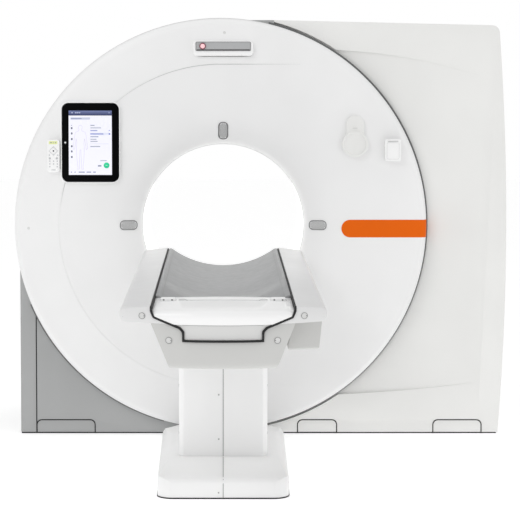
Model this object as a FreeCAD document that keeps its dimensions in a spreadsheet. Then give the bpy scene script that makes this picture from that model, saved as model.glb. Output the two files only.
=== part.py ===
"""A whole-body CT scanner: a gantry round a patient bore, with a lifting patient table in front of it.

Millimetres. X is to the right seen from the patient table, Y runs along the bore away from the table and
Z is up. The origin is on the floor, under the bore axis, in the plane of the gantry's front disc.
"""
import FreeCAD, Part
import math
import os
import re

import Sketcher
from FreeCAD import Placement, Rotation, Vector

PARTS = "parts"

# The driving dimensions in millimetres: name, value, what it is. One that starts with = follows others.
DIMENSIONS = [
    # gantry
    ("bore_radius", 350, "inside of the patient bore"),
    ("gantry_depth", 870, "front disc to rear disc"),
    ("disc_radius", 890, "rim of the front and rear discs"),
    ("rim_clear", 28, "disc's rim above the floor"),
    ("bore_height", "=disc_radius + rim_clear", "bore axis above the floor"),
    ("disc_offset", 12, "disc centre to the left of the bore axis"),
    ("disc_depth", 64, "depth of a disc cover at its rim"),
    ("rim_round", 26, "rounding of a disc's rim"),
    ("crease_radius", 696, "where the disc's face starts to lean back"),
    ("crease_drop", 14, "how far it has leant back at the rim"),
    ("cover_wall", 8, "wall of the large moulded covers"),
    ("funnel_radius", 480, "where the face turns into the bore"),
    ("funnel_depth", 55, "depth of that turn"),
    ("liner_wall", 5, "wall of the bore liner"),
    ("seam_width", 4, "rubber seam between a disc and the side covers"),
    ("seam_proud", 3, "how far the seam shows past the rim"),
    ("seam_lap", 40, "width of the seam ring behind the rim"),
    ("body_step", 6, "how far the body stands in from the discs' rims"),
    ("body_radius", "=disc_radius - body_step", "round back of the body behind the discs"),
    ("roof_end", 220, "right end of the grey roof"),
    ("floor_gap", 6, "shadow gap under the covers"),
    ("corner_strip", 68, "width of the side cover's front return"),
    ("panel_joint", 2, "open joint between two cover panels"),
    ("toe_left", 190, "covers end this far left of the bore axis"),
    ("toe_rise", 47, "height of the rounded toe of the covers"),
    ("toe_length", 68, "length of that rounding"),
    ("side_reach", 312, "right cover past the round body, at its top"),
    ("side_low", "=body_radius + side_reach + 4", "right cover at the floor"),
    ("side_middle", "=body_radius + side_reach + 35", "right cover at its widest"),
    ("side_high", "=body_radius + side_reach", "right cover at its top"),
    ("side_top", "=bore_height + body_radius - 22", "height of the right cover's far corner"),
    ("corner_round", 34, "rounding of that corner"),
    ("recess_drop", 16, "depth of the sculpted front at the disc"),
    ("recess_half", 750, "sculpted front above and below the bore axis"),
    ("recess_low", "=bore_height - recess_half", "lower edge of the sculpted front"),
    ("recess_high", "=bore_height + recess_half", "upper edge of it at the disc"),
    ("recess_rim", 16, "the sculpted front runs on round the disc this wide"),
    ("recess_fade", "=side_high - 76", "where it runs out to the right"),
    ("cap_height", 54, "height of the foot caps"),
    ("cap_round", 20, "corner rounding of the foot caps"),
    ("cap_left_start", "=body_radius - corner_strip - panel_joint", "left foot cap, far end"),
    ("cap_left_length", 254, "left foot cap"),
    ("cap_left_end", "=cap_left_start - cap_left_length", "left foot cap, near end"),
    ("cap_inner_start", 325, "inner right foot cap"),
    ("cap_inner_end", 496, "inner right foot cap"),
    ("cap_outer_end", "=side_low - 72", "outer right foot cap"),
    ("cap_outer_length", 211, "outer right foot cap"),
    ("cap_outer_start", "=cap_outer_end - cap_outer_length", "outer right foot cap"),
    # frame, bearing and drive
    ("base_height", 110, "height of the floor frame"),
    ("base_beam", 90, "width of its beams"),
    ("anchor_radius", 9, "floor anchor holes"),
    ("anchor_inset", 40, "anchor holes from the frame's edges"),
    ("stator_room", 330, "rear disc's back to the bearing plate's front"),
    ("stator_front", "=gantry_depth - stator_room", "front face of the bearing plate"),
    ("stator_thick", 60, "thickness of the bearing plate"),
    ("stator_radius", 560, "round top of the bearing plate"),
    ("bearing_outer", 500, "outside of the fixed ring"),
    ("bearing_split", 455, "between the two rings"),
    ("bearing_gap", 0.5, "running gap between the rings"),
    ("hub_inner", 400, "inside of the rotor's hub"),
    ("hub_outer", 425, "outside of the rotor's hub"),
    ("web_room", 70, "web's front to the bearing plate's front"),
    ("web_front", "=stator_front - web_room", "front face of the rotor's web"),
    ("web_thick", 24, "thickness of the web"),
    ("rim_radius", 740, "belt rim of the rotor"),
    ("rim_wall", 24, "wall of that rim"),
    ("rim_reach", 40, "how far that rim stands in front of the web"),
    ("rim_front", "=web_front - rim_reach", "front edge of that rim"),
    ("ring_room", 20, "bearing plate to slip ring"),
    ("ring_front", "=stator_front + stator_thick + ring_room", "slip ring, front edge"),
    ("ring_width", 70, "slip ring width"),
    ("ring_radius", 460, "slip ring radius"),
    ("hub_back", "=ring_front + ring_width + 10", "rear end of the hub"),
    ("track_width", 6, "width of a slip ring groove"),
    ("track_depth", 3, "depth of a slip ring groove"),
    ("motor_right", 729, "motor axis, right of the bore axis"),
    ("motor_height", "=bore_height - 510", "motor axis above the floor"),
    ("motor_radius", 85, "drive motor"),
    ("motor_length", 170, "drive motor"),
    ("pulley_radius", 60, "motor pulley"),
    ("shaft_radius", 12, "motor shaft"),
    ("belt_width", 28, "drive belt"),
    ("belt_thick", 5, "drive belt"),
    ("pulley_flange", 4, "pulley past each side of the belt"),
    ("shaft_reach", 40, "motor shaft behind the bearing plate"),
    ("brush_half", 60, "half width of the brush block"),
    ("brush_rise", 40, "brush block above the fixed ring"),
    ("cabinet_room", 85, "power cabinet from the motor and from the cover"),
    ("cabinet_inset", 128, "power cabinet from the discs' faces"),
    ("cabinet_height", 1377, "power cabinet"),
    ("run_gap", 0.5, "running gap between pieces that move past each other"),
    # what turns
    ("focus_radius", 590, "focal spot from the bore axis"),
    ("tube_radius", 105, "x-ray tube housing"),
    ("tube_front", 150, "front end of the tube housing"),
    ("tube_nose", 40, "round nose of the tube housing in front of its foot"),
    ("collimator_height", 55, "beam collimator"),
    ("collimator_width", 240, "beam collimator, beside the tube"),
    ("collimator_end", 192, "its width at the lower end"),
    ("slot_width", 154, "slot that the beam leaves through"),
    ("slot_inset", 60, "the slot from the collimator's ends"),
    ("slot_skin", 20, "collimator above the slot"),
    ("detector_thick", 90, "detector modules and their carrier"),
    ("detector_room", 131, "detector's back to the inside of the belt rim"),
    (
        "detector_radius",
        "=focus_radius + rim_radius - rim_wall - detector_thick - detector_room",
        "detector face from the focal spot",
    ),
    ("detector_angle", 27, "half of the fan, in degrees"),
    ("detector_front", 220, "front face of the detector"),
    ("module_joint", 2, "joint between two detector modules"),
    ("module_height", 30, "how deep that joint is"),
    ("module_length", 120, "detector modules, from the front"),
    ("box_front", 180, "front of the generator and the cooler"),
    ("box_room", 46, "boxes on the web from the belt rim"),
    ("generator_height", 200, "high-voltage generator, along the radius"),
    ("generator_width", 300, "high-voltage generator"),
    ("generator_angle", 20, "its place round the web, in degrees"),
    ("cooler_height", 180, "tube cooler, along the radius"),
    ("cooler_width", 260, "tube cooler"),
    ("cooler_angle", 150, "its place"),
    ("weight_height", 140, "counterweight, along the radius"),
    ("weight_width", 220, "counterweight"),
    ("weight_angle", 197, "its place"),
    # on the front disc
    ("display_half", 128, "half width of the status display"),
    ("display_low", "=bore_height + disc_radius - 161", "its lower edge"),
    ("display_high", "=display_low + 65", "its upper edge"),
    ("display_proud", 22, "how far it stands out"),
    ("window_half", 117, "half width of the display window"),
    ("window_low", "=display_low + 22", "lower edge of the display window"),
    ("window_high", "=display_high - 5", "upper edge of the display window"),
    ("glass_thick", 2, "windows and screens"),
    ("lamp_left", 88, "indicator lamp, left of the bore axis"),
    ("lamp_height", "=display_low + 42", "indicator lamp above the floor"),
    ("lamp_radius", 11, "indicator lamp"),
    ("laser_radius", 408, "laser windows from the bore axis"),
    ("laser_length", 72, "laser window"),
    ("laser_width", 39, "laser window"),
    ("dock_left", 697, "tablet dock, far edge"),
    ("dock_right", 443, "tablet dock, near edge"),
    ("dock_low", "=bore_height + 184", "tablet dock, lower edge"),
    ("dock_high", "=dock_low + 348", "tablet dock, upper edge"),
    ("dock_thick", 16, "tablet dock"),
    ("dock_lip", 5, "dock's lip round the tablet"),
    ("tablet_thick", 9, "tablet computer"),
    ("tablet_round", 28, "tablet's corners"),
    ("bezel_side", 31, "tablet's bezel at the sides"),
    ("bezel_end", 29, "tablet's bezel at the ends"),
    ("button_radius", 6, "tablet's home button"),
    ("button_travel", 1.2, "travel of the buttons"),
    ("button_proud", 1.6, "how far a button stands out"),
    ("button_gap", 0.4, "gap round a button"),
    ("remote_left", 756, "remote control, far edge"),
    ("remote_right", 703, "remote control, near edge"),
    ("remote_low", "=bore_height + 230", "remote control, lower edge"),
    ("remote_high", "=remote_low + 140", "remote control, upper edge"),
    ("remote_thick", 20, "remote control"),
    ("pad_half", 15, "half diagonal of the remote's pad"),
    ("pad_height", "=remote_low + 92", "middle of the pad above the floor"),
    ("key_radius", 4, "remote's two keys"),
    ("key_height", "=remote_low + 60", "the keys above the floor"),
    ("key_spread", 15, "each key from the remote's middle"),
    ("holder_right", 567, "round holder, right of the bore axis"),
    ("holder_height", "=bore_height + 351", "round holder above the floor"),
    ("holder_radius", 56, "round holder"),
    ("holder_tab_half", 38, "half width of its upper tab"),
    ("holder_tab_top", "=holder_height + 122", "top of the tab"),
    ("holder_proud", 24, "how far it stands out"),
    ("holder_dish", 4, "depth of its dish"),
    ("pocket_left", 695, "small pocket, near edge"),
    ("pocket_right", 763, "small pocket, far edge"),
    ("pocket_low", "=bore_height + 279", "small pocket, lower edge"),
    ("pocket_high", "=pocket_low + 93", "small pocket, upper edge"),
    ("pocket_proud", 30, "small pocket"),
    ("pocket_wall", 5, "small pocket's wall"),
    ("band_start", 510, "left end of the coloured band"),
    ("band_low", "=bore_height - 52", "lower edge of the band"),
    ("band_high", "=band_low + 76", "upper edge of the band"),
    ("band_thick", 1.2, "foil thickness of the band"),
    # patient table
    ("table_drop", 88, "side wings' top below the bore axis"),
    ("table_top", "=bore_height - table_drop", "inner edge of the side wings"),
    ("wing_half", 341, "half width of the table"),
    ("wing_edge", "=table_top - 10", "outer edge of the wings' top"),
    ("wing_low", "=table_top - 56", "underside of the wings"),
    ("wing_round", 22, "rounding of the wings' outer edges"),
    ("table_near", 2288, "near end of the table in front of the disc"),
    ("table_far", 80, "far end of the table in front of the disc"),
    ("bow_drop", 115, "how far the near end is swept back at the wings"),
    ("plan_round", 36, "plan rounding of the table's near corners"),
    ("housing_low", "=table_top - 201", "underside of the table's housing"),
    ("housing_top_half", 235, "half width of the housing at its top"),
    ("housing_low_half", 174, "half width of the housing at its bottom"),
    ("housing_wall", 8, "wall of the housing"),
    ("housing_edge", 20, "rounding of its near lower edge"),
    ("gasket_width", 6, "rubber edge between table and cradle"),
    ("slide_gap", 0.5, "running gap round the cradle"),
    ("cradle_half", 231, "half width of the cradle"),
    ("cradle_lip", "=table_top - 6", "top of the cradle's lips"),
    ("cradle_shoulder", "=table_top - 15", "top of the end cap's sides"),
    ("lip_width", 11, "width of the cradle's lips"),
    ("cradle_sag", 72, "how far the cradle's surface dips"),
    ("cradle_thick", 20, "thickness of the cradle at its middle"),
    ("knee_half", "=cradle_half - 8", "profile of the end cap: outer knee"),
    ("knee_height", "=table_top - 33", "profile of the end cap: outer knee"),
    ("tray_half", 126, "profile of the end cap: lower part"),
    ("step_half", "=tray_half + 12", "profile of the end cap: inner knee"),
    ("step_height", "=table_top - 65", "profile of the end cap: inner knee"),
    ("tray_height", "=table_top - 78", "profile of the end cap: lower part"),
    ("tray_low", "=table_top - 106", "underside of the end cap"),
    ("cap_length", 417, "length of the cradle's end cap"),
    ("cap_line", "=table_top - 57", "line across the end cap's face"),
    ("cap_step", 5, "how far the face under that line is set back"),
    ("cap_crown", 5, "how far the end cap's top bulges"),
    ("cap_edge", 24, "rounding of its near upper edge"),
    ("grip_half", 150, "half length of the shallow grip slot"),
    ("grip_near", 104, "near side of the grip slot, from the cap's far end"),
    ("grip_far", 62, "far side of it"),
    ("grip_depth", 3, "grip slot"),
    ("cradle_far", 60, "far end of the cradle in front of the disc"),
    ("lug_spread", 186, "latch lugs from the middle"),
    ("lug_length", 48, "latch lug"),
    ("lug_width", 56, "latch lug"),
    ("lug_proud", 9, "latch lug"),
    ("lug_inset", 48, "latch lugs from the cap's far end"),
    ("lug_round", 9, "latch lug's corners"),
    ("screw_radius", 10, "screw caps"),
    ("screw_proud", 1, "screw caps"),
    ("wing_screw_spread", 264, "screw caps on the wings"),
    ("wing_screw_height", "=table_top - 33", "screw caps on the wings"),
    ("housing_screw_spread", 176, "screw caps on the housing"),
    ("housing_screw_height", "=table_top - 109", "screw caps on the housing"),
    ("box_inner", 240, "accessory box, inner side"),
    ("box_outer", 335, "accessory box, outer side at the top"),
    ("box_low", "=table_top - 179", "accessory box, underside"),
    ("box_near", 1985, "accessory box, near end"),
    ("box_far", 1500, "accessory box, far end"),
    ("box_lean_inner", 24, "how far its inner side leans in"),
    ("box_lean_outer", 12, "how far its outer side leans in"),
    ("box_tilt", 5, "how far its underside rises outwards"),
    ("box_edge", 8, "rounding of its edges"),
    ("tie_length", 40, "brackets between housing and chassis"),
    # lift
    ("plate_half", 150, "half width of the table's floor plate"),
    ("plate_thick", 12, "floor plate"),
    ("plate_near", 1010, "near end of the floor plate"),
    ("column_middle", 790, "lift column in front of the disc"),
    ("column_half", 90, "half width of the inner lift column"),
    ("column_wall", 10, "walls of the lift columns"),
    ("column_bottom", 180, "lower end of the inner column"),
    ("column_outer_top", 470, "upper end of the outer column"),
    ("head_thick", 16, "head plate of the lift"),
    ("head_side", 40, "head plate past the column's sides"),
    ("head_end", 60, "head plate past its front and back"),
    ("chassis_low", "=table_top - 126", "underside of the table's chassis"),
    ("chassis_thick", 14, "table's chassis"),
    ("chassis_half", 150, "half width of the chassis"),
    ("rail_inner", 150, "guide rails, inner side"),
    ("rail_outer", 178, "guide rails, outer side"),
    ("rail_top", "=chassis_low + 43", "guide rails, upper side"),
    ("carriage_near", 1950, "carriage, near end"),
    ("carriage_far", 1760, "carriage, far end"),
    ("shroud_half", 170, "half width of the column cover"),
    ("shroud_near", 1024, "front of the column cover"),
    ("shroud_far", 560, "rear of the column cover"),
    ("shroud_wall", 6, "wall of the column cover"),
    ("shroud_edge", 18, "chamfer of the column cover's corners"),
    ("shroud_low", 75, "lower edge of the column cover"),
    ("shroud_high", "=housing_low + 23", "upper edge of the column cover"),
    ("rib_low", 300, "guide ribs in the column cover, lower end"),
    ("rib_high", 330, "upper end of the ribs"),
    ("rib_half", 12, "half width of a rib"),
    ("foot_half", 246, "half width of the foot at its front"),
    ("foot_rear_half", 258, "half width of the foot at the gantry"),
    ("foot_near", 1304, "front of the foot"),
    ("foot_far", 2, "rear of the foot"),
    ("foot_edge", 79, "height of the foot's front"),
    ("foot_top", 108, "height of the foot at the column"),
    ("foot_rear", 50, "height of the foot at the gantry"),
    ("foot_round", 62, "plan rounding of the foot's corners"),
    ("foot_nose", 22, "rounding of the foot's upper front edge"),
    ("foot_wall", 8, "wall of the foot's covers"),
    ("foot_gap", 0.6, "gap between foot and column cover"),
    ("foot_level", 24, "level part of the foot beside the column cover"),
    ("foot_side", 14, "upright part of the foot's sides"),
    ("cove_radius", 68, "hollow sides of the foot at the gantry"),
    ("cove_level", 6, "height of the foot's edge under the hollow sides"),
    ("cove_out", 0.16, "hollow's run outwards for each mm forward"),
    ("cove_rise", 0.22, "hollow's rise for each mm forward"),
]

doc = FreeCAD.newDocument("ct_scanner")
sheet = doc.addObject("Spreadsheet::Sheet", "Sizes")
for row, (alias, amount, meaning) in enumerate(DIMENSIONS, 1):
    sheet.set(f"A{row}", alias)
    sheet.set(f"B{row}", str(amount))
    sheet.set(f"C{row}", meaning)
    sheet.setAlias(f"B{row}", alias)
doc.recompute()

NODES = []


def size(alias):
    """One driving dimension, read from the sheet."""
    return float(sheet.get(alias))


def bound(expression):
    """An expression with each dimension's name pointed at the sheet."""
    return re.sub(r"[a-z][a-z_]+", lambda word: "Sizes." + word.group(0), expression)


def keep(node):
    """Note an object as one of the sub-parts that are written out."""
    NODES.append(node)
    return node


def piece(label, shape):
    """A sub-part whose shape is worked out here from the sheet."""
    node = doc.addObject("Part::Feature", label)
    node.Label = label
    node.Shape = shape.removeSplitter() if len(shape.Solids) == 1 else shape
    node.Placement = Placement()
    return keep(node)


# ---- outlines and simple solids -----------------------------------------------------------------

def face_of(steps, place):
    """A flat face from a list of points; a pair of points is an arc through the first to the second."""
    ends = [step[1] if isinstance(step[0], tuple) else step for step in steps]
    edges = []
    for last, step, end in zip([ends[-1]] + ends[:-1], steps, ends):
        if isinstance(step[0], tuple):
            edges.append(Part.Arc(place(*last), place(*step[0]), place(*end)).toShape())
        elif math.dist(last, end) > 1e-6:
            edges.append(Part.LineSegment(place(*last), place(*end)).toShape())
    return Part.Face(Part.Wire(edges))


def prism(steps, front, back):
    """A solid of one section in X and Z, along Y."""
    return face_of(steps, lambda x, z: Vector(x, front, z)).extrude(Vector(0, back - front, 0))


def slab(steps, low, high):
    """A solid of one outline in X and Y, along Z."""
    return face_of(steps, lambda x, y: Vector(x, y, low)).extrude(Vector(0, 0, high - low))


def bar(steps, left, right):
    """A solid of one section in Y and Z, along X."""
    return face_of(steps, lambda y, z: Vector(left, y, z)).extrude(Vector(right - left, 0, 0))


def block(left, right, front, back, low, high):
    """A box between two corners."""
    return Part.makeBox(right - left, back - front, high - low, Vector(left, front, low))


def rod(radius, x, z, front, back):
    """A cylinder along Y."""
    return Part.makeCylinder(radius, back - front, Vector(x, front, z), Vector(0, 1, 0))


def turned(steps, x, z, start=0, sweep=360):
    """A solid turned about an axis along Y at x, z; its section is given as radius and Y."""
    section = face_of(steps, lambda r, y: Vector(r, y, 0))
    solid = section.revolve(Vector(0, 0, 0), Vector(0, -1, 0), sweep)
    solid.rotate(Vector(0, 0, 0), Vector(0, -1, 0), start)
    solid.translate(Vector(x, 0, z))
    return solid


def rounded(left, right, low, high, radius):
    """The outline of a rectangle with round corners."""
    cut = radius * (1 - math.sqrt(0.5))
    return [
        (left + radius, low),
        (right - radius, low),
        ((right - cut, low + cut), (right, low + radius)),
        (right, high - radius),
        ((right - cut, high - cut), (right - radius, high)),
        (left + radius, high),
        ((left + cut, high - cut), (left, high - radius)),
        (left, low + radius),
        ((left + cut, low + cut), (left + radius, low)),
    ]


def mirrored(shape, normal=Vector(1, 0, 0), at=Vector(0, 0, 0)):
    """The mirror image of a shape."""
    return shape.mirror(at, normal)


# ---- parametric bodies: sketches whose corners are bound to the sheet ---------------------------

def bound_sketch(body, role, corners):
    """A closed sketch on one of the body's own planes; each corner is a pair of expressions."""
    sketch = body.newObject("Sketcher::SketchObject", body.Name + "_outline")
    plane = next(item for item in body.Origin.OriginFeatures if item.Role == role)
    sketch.AttachmentSupport = [(plane, "")]
    sketch.MapMode = "FlatFace"
    count = len(corners)
    loose = [Vector(10 * step, 7 * step * step, 0) for step in range(1, count + 1)]
    for index in range(count):
        sketch.addGeometry(Part.LineSegment(loose[index], loose[(index + 1) % count]), False)
    for index in range(count):
        sketch.addConstraint(Sketcher.Constraint("Coincident", index, 2, (index + 1) % count, 1))
    for index, (across, up) in enumerate(corners):
        start = loose[index]
        for kind, expression, place in (("DistanceX", across, start.x), ("DistanceY", up, start.y)):
            rule = sketch.addConstraint(Sketcher.Constraint(kind, -1, 1, index, 1, place))
            sketch.setExpression(f"Constraints[{rule}]", bound(expression))
    return sketch


def new_body(label):
    """An empty body that becomes a sub-part."""
    body = doc.addObject("PartDesign::Body", label)
    body.Label = label
    return keep(body)


def turned_body(label, corners):
    """A body turned about the bore axis from an outline given as radius and Y."""
    body = new_body(label)
    sketch = bound_sketch(body, "XY_Plane", corners)
    turn = body.newObject("PartDesign::Revolution", label + "_turn")
    turn.Profile = sketch
    turn.ReferenceAxis = (sketch, ["V_Axis"])
    turn.Angle = 360
    body.setExpression(".Placement.Base.z", bound("bore_height"))
    return body


def padded_body(label, role, corners, length, offset):
    """A body padded from a bound outline, its base plane moved along its normal by an offset."""
    body = new_body(label)
    sketch = bound_sketch(body, role, corners)
    sketch.setExpression(".AttachmentOffset.Base.z", bound(offset))
    pad = body.newObject("PartDesign::Pad", label + "_pad")
    pad.Profile = sketch
    pad.setExpression("Length", bound(length))
    return body


# ---- the gantry's covers ------------------------------------------------------------------------

AXIS = size("bore_height")
DISC_X = -size("disc_offset")
PANEL_FRONT = size("disc_depth") + size("seam_width")
PANEL_BACK = size("gantry_depth") - PANEL_FRONT
HALF_TURN = math.sqrt(0.5)


def funnel_curve(inset):
    """The arc that turns the disc's face into the bore, moved back by an inset: centre, ends and middle."""
    reach = size("funnel_radius") - size("bore_radius")
    depth = size("funnel_depth")
    radius = (reach ** 2 + depth ** 2) / (2 * depth)
    bend = radius - inset
    across = math.sqrt(bend ** 2 - (radius - depth) ** 2)
    half = math.asin(across / bend) / 2
    start = (size("funnel_radius"), inset)
    middle = (size("funnel_radius") - bend * math.sin(half), radius - bend * math.cos(half))
    end = (size("funnel_radius") - across, depth)
    return start, middle, end


def funnel_ring(front, back):
    """The wall between two insets of the funnel's curve, about the bore axis."""
    start, middle, end = funnel_curve(front)
    inner_start, inner_middle, inner_end = funnel_curve(back)
    return turned([start, (middle, end), inner_end, (inner_middle, inner_start)], 0, AXIS)


def leaning_face(inset):
    """What the crease takes off the disc: a cone on the left that runs out level to the right."""
    reach = size("disc_radius") + 20
    crease = size("crease_radius")
    slope = size("crease_drop") / (size("disc_radius") - crease)
    front = inset - 5
    section = [(crease, inset), (reach, inset + slope * (reach - crease)), (reach, front), (crease, front)]
    cone = turned(section, DISC_X, AXIS, start=90, sweep=180)
    above = bar([(y, AXIS + r) for r, y in section], DISC_X, reach)
    below = bar([(y, AXIS - r) for r, y in section], DISC_X, reach)
    return [cone, above, below]


def disc_solid(inset, creased, depth):
    """The full solid of a disc cover, drawn in by an inset on its face and rim."""
    radius = size("disc_radius") - inset
    bend = size("rim_round") - inset
    cut = bend * (1 - HALF_TURN)
    steps = [
        (0, inset),
        (radius - bend, inset),
        ((radius - cut, inset + cut), (radius, inset + bend)),
        (radius, depth),
        (0, depth),
    ]
    solid = turned(steps, DISC_X, AXIS)
    return solid.cut(leaning_face(inset)) if creased else solid


def disc_cover(creased):
    """A disc cover: a dished moulding with its rim, its crease and the funnel into the bore."""
    depth = size("disc_depth")
    wall = size("cover_wall")
    shell = disc_solid(0, creased, depth).cut(disc_solid(wall, creased, depth + 1))
    shell = shell.cut(rod(size("funnel_radius"), 0, AXIS, -1, depth + 1))
    return shell.fuse(funnel_ring(0, wall))


def body_outline(inset, reach):
    """The round-backed body behind the discs; reach opens it past its right end and the floor."""
    radius = size("body_radius") - inset
    slant = radius * HALF_TURN
    right = size("roof_end") + reach
    low = size("floor_gap") - reach
    return [
        (-radius, low),
        (-radius, AXIS),
        ((-slant, AXIS + slant), (0, AXIS + radius)),
        (right, AXIS + radius),
        (right, low),
    ]


def toe_corner(side):
    """The rounded toe of a cover beside the table's foot, from the floor up."""
    end = size("toe_left")
    rise, length = size("toe_rise"), size("toe_length")
    low = size("floor_gap")
    bend = 1 - HALF_TURN
    middle = (side * (end + length * bend), low + rise * bend)
    return [(side * (end + length), low), (middle, (side * end, low + rise))]


def foot_opening(start, end, side, grow):
    """The opening for a foot cap: round upper corners, open at the floor."""
    low = size("floor_gap")
    high = low + size("cap_height") + grow
    left, right = sorted((side * start, side * end))
    left, right = left - grow, right + grow
    radius = size("cap_round") + grow
    cut = radius * (1 - HALF_TURN)
    bottom = low - 1 if grow else low
    return [
        (left, bottom),
        (right, bottom),
        (right, high - radius),
        ((right - cut, high - cut), (right - radius, high)),
        (left + radius, high),
        ((left + cut, high - cut), (left, high - radius)),
    ]


WALL = size("cover_wall")
JOINT = size("panel_joint")
SEAT = 0.3  # room under a fitting that lies on a curved face
LEFT_SIDE = -size("body_radius")
STRIP_END = LEFT_SIDE + size("corner_strip")
behind_disc = rod(size("disc_radius") - size("seam_lap"), DISC_X, AXIS, -1, size("gantry_depth") + 1)

body_band = prism(body_outline(0, 0), PANEL_FRONT, PANEL_BACK).cut(
    prism(body_outline(WALL, 1), PANEL_FRONT - 1, PANEL_BACK + 1)
)
flanges = []
for front in (PANEL_FRONT, PANEL_BACK - WALL):
    upper = block(LEFT_SIDE, size("roof_end"), front, front + WALL, AXIS, 2 * AXIS)
    flanges.append(prism(body_outline(0, 0), front, front + WALL).common(upper).cut(behind_disc))
body_band = body_band.fuse(flanges)
shoulder = -size("body_radius") * HALF_TURN
left_of_shoulder = block(LEFT_SIDE - 1, shoulder, 0, size("gantry_depth"), 0, 2 * AXIS)

strip = block(LEFT_SIDE, STRIP_END, PANEL_FRONT, PANEL_FRONT + WALL, size("floor_gap"), AXIS)
rear_corner = [(LEFT_SIDE, size("floor_gap"))] + toe_corner(-1)
rear_corner += [(-size("toe_left"), AXIS), (LEFT_SIDE, AXIS)]
rear_panel = prism(rear_corner, PANEL_BACK - WALL, PANEL_BACK)
left_side = body_band.common(left_of_shoulder).fuse([strip.cut(behind_disc), rear_panel.cut(behind_disc)])
piece("left_side_cover", left_side)
piece("roof_cover", body_band.cut(left_of_shoulder))

seam_side = STRIP_END + JOINT
front_corner = toe_corner(-1) + [(-size("toe_left"), AXIS), (seam_side, AXIS), (seam_side, size("floor_gap"))]
left_front = prism(front_corner, PANEL_FRONT, PANEL_FRONT + WALL).cut(behind_disc)
left_opening = foot_opening(size("cap_left_start"), size("cap_left_end"), -1, JOINT)
left_front = left_front.cut(prism(left_opening, PANEL_FRONT - 1, PANEL_FRONT + WALL + 1))
piece("left_front_cover", left_front)
left_cap = foot_opening(size("cap_left_start"), size("cap_left_end"), -1, 0)
piece("left_foot_cap", prism(left_cap, PANEL_FRONT, PANEL_FRONT + WALL))

piece("front_disc_cover", disc_cover(True))
rear_disc = mirrored(disc_cover(False), Vector(0, 1, 0), Vector(0, size("gantry_depth") / 2, 0))
piece("rear_disc_cover", rear_disc)

turned_body(
    "bore_liner",
    [
        ("bore_radius", "funnel_depth"),
        ("bore_radius + liner_wall", "funnel_depth"),
        ("bore_radius + liner_wall", "gantry_depth - funnel_depth"),
        ("bore_radius", "gantry_depth - funnel_depth"),
    ],
)
seams = []
for seam_front in (size("disc_depth"), PANEL_BACK):
    inner, outer = size("disc_radius") - size("seam_lap"), size("disc_radius") + size("seam_proud")
    ring = rod(outer, DISC_X, AXIS, seam_front, seam_front + size("seam_width"))
    seams.append(ring.cut(rod(inner, DISC_X, AXIS, seam_front - 1, seam_front + size("seam_width") + 1)))
piece("disc_seams", Part.Compound(seams))


def right_outline(inset):
    """The right cover: level with the roof at its left, a bowed outer side and a round upper corner."""
    top = AXIS + size("body_radius") - inset
    low = size("floor_gap")
    corner = size("side_top") - inset
    high_side = size("side_high") - inset
    bend = size("corner_round")
    cut = bend * (1 - HALF_TURN)
    outer = [
        (high_side - bend, corner),
        ((high_side - cut, corner - cut), (high_side, corner - bend)),
        ((size("side_middle") - inset, AXIS), (size("side_low") - inset, low)),
    ]
    if inset:
        far_left = size("toe_left") - 2 * inset
        return [(far_left, top)] + outer + [(size("side_low") - inset, low - 1), (far_left, low - 1)]
    return [(size("roof_end"), top)] + outer + toe_corner(1) + [(size("roof_end"), AXIS)]


def sculpted_front(back):
    """What the sculpted front takes off: a wedge between two soft edges, deepest beside the disc."""
    start = size("toe_left")
    fade = size("recess_fade")
    low, high = size("recess_low"), size("recess_high")
    span = fade - start
    drop = size("recess_drop") * span / (fade - size("band_start"))
    wedge = slab(
        [(start, PANEL_FRONT + back), (fade, PANEL_FRONT + back), (start, PANEL_FRONT + back + drop)],
        0,
        2 * AXIS,
    )
    edge = prism(
        [
            (start, low - back),
            ((start + span / 2, low + 12 - back), (fade, low + 60 - back)),
            (fade, high - 110 + back),
            ((start + span * 0.62, high - 24 + back), (start, high + back)),
        ],
        PANEL_FRONT + back - 1,
        PANEL_BACK,
    )
    beside_rim = rod(size("disc_radius") + size("recess_rim") + back, DISC_X, AXIS, PANEL_FRONT, PANEL_BACK)
    return wedge.common(edge.fuse(beside_rim))


right_shell = prism(right_outline(0), PANEL_FRONT, PANEL_BACK).cut(sculpted_front(0))
right_hollow = prism(right_outline(WALL), PANEL_FRONT + WALL, PANEL_BACK - WALL).cut(sculpted_front(WALL))
right_shell = right_shell.cut(right_hollow).cut(behind_disc)
caps = []
for start, end in (("cap_inner_start", "cap_inner_end"), ("cap_outer_start", "cap_outer_end")):
    opening = foot_opening(size(start), size(end), 1, JOINT)
    right_shell = right_shell.cut(prism(opening, PANEL_FRONT - 1, PANEL_FRONT + WALL + 1))
    caps.append(prism(foot_opening(size(start), size(end), 1, 0), PANEL_FRONT, PANEL_FRONT + WALL))
piece("right_side_cover", right_shell)
piece("right_foot_caps", Part.Compound(caps))


# ---- fittings on the front disc -----------------------------------------------------------------

disc_mass = disc_solid(0, True, size("disc_depth"))


WELL = size("button_travel") + size("button_gap") + 1


def circle(x, z, radius):
    """A circle as two arcs."""
    return [((x, z - radius), (x + radius, z)), ((x, z + radius), (x - radius, z))]


def diamond(x, z, half):
    """A square that stands on its corner."""
    return [(x - half, z), (x, z - half), (x + half, z), (x, z + half)]


def button_well(radius, x, z, front):
    """The round well that a button moves in."""
    return rod(radius + size("button_gap"), x, z, front - 1, front + WELL)


def push_button(label, front, outline):
    """A button that stands proud of a face and stops before the bottom of its well."""
    back = front + WELL - size("button_travel") - size("button_gap")
    return piece(label, prism(outline, front - size("button_proud"), back))


def seated(solid):
    """A fitting that stands on the disc: whatever would reach into the disc is taken off."""
    return solid.cut(disc_mass)


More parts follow.
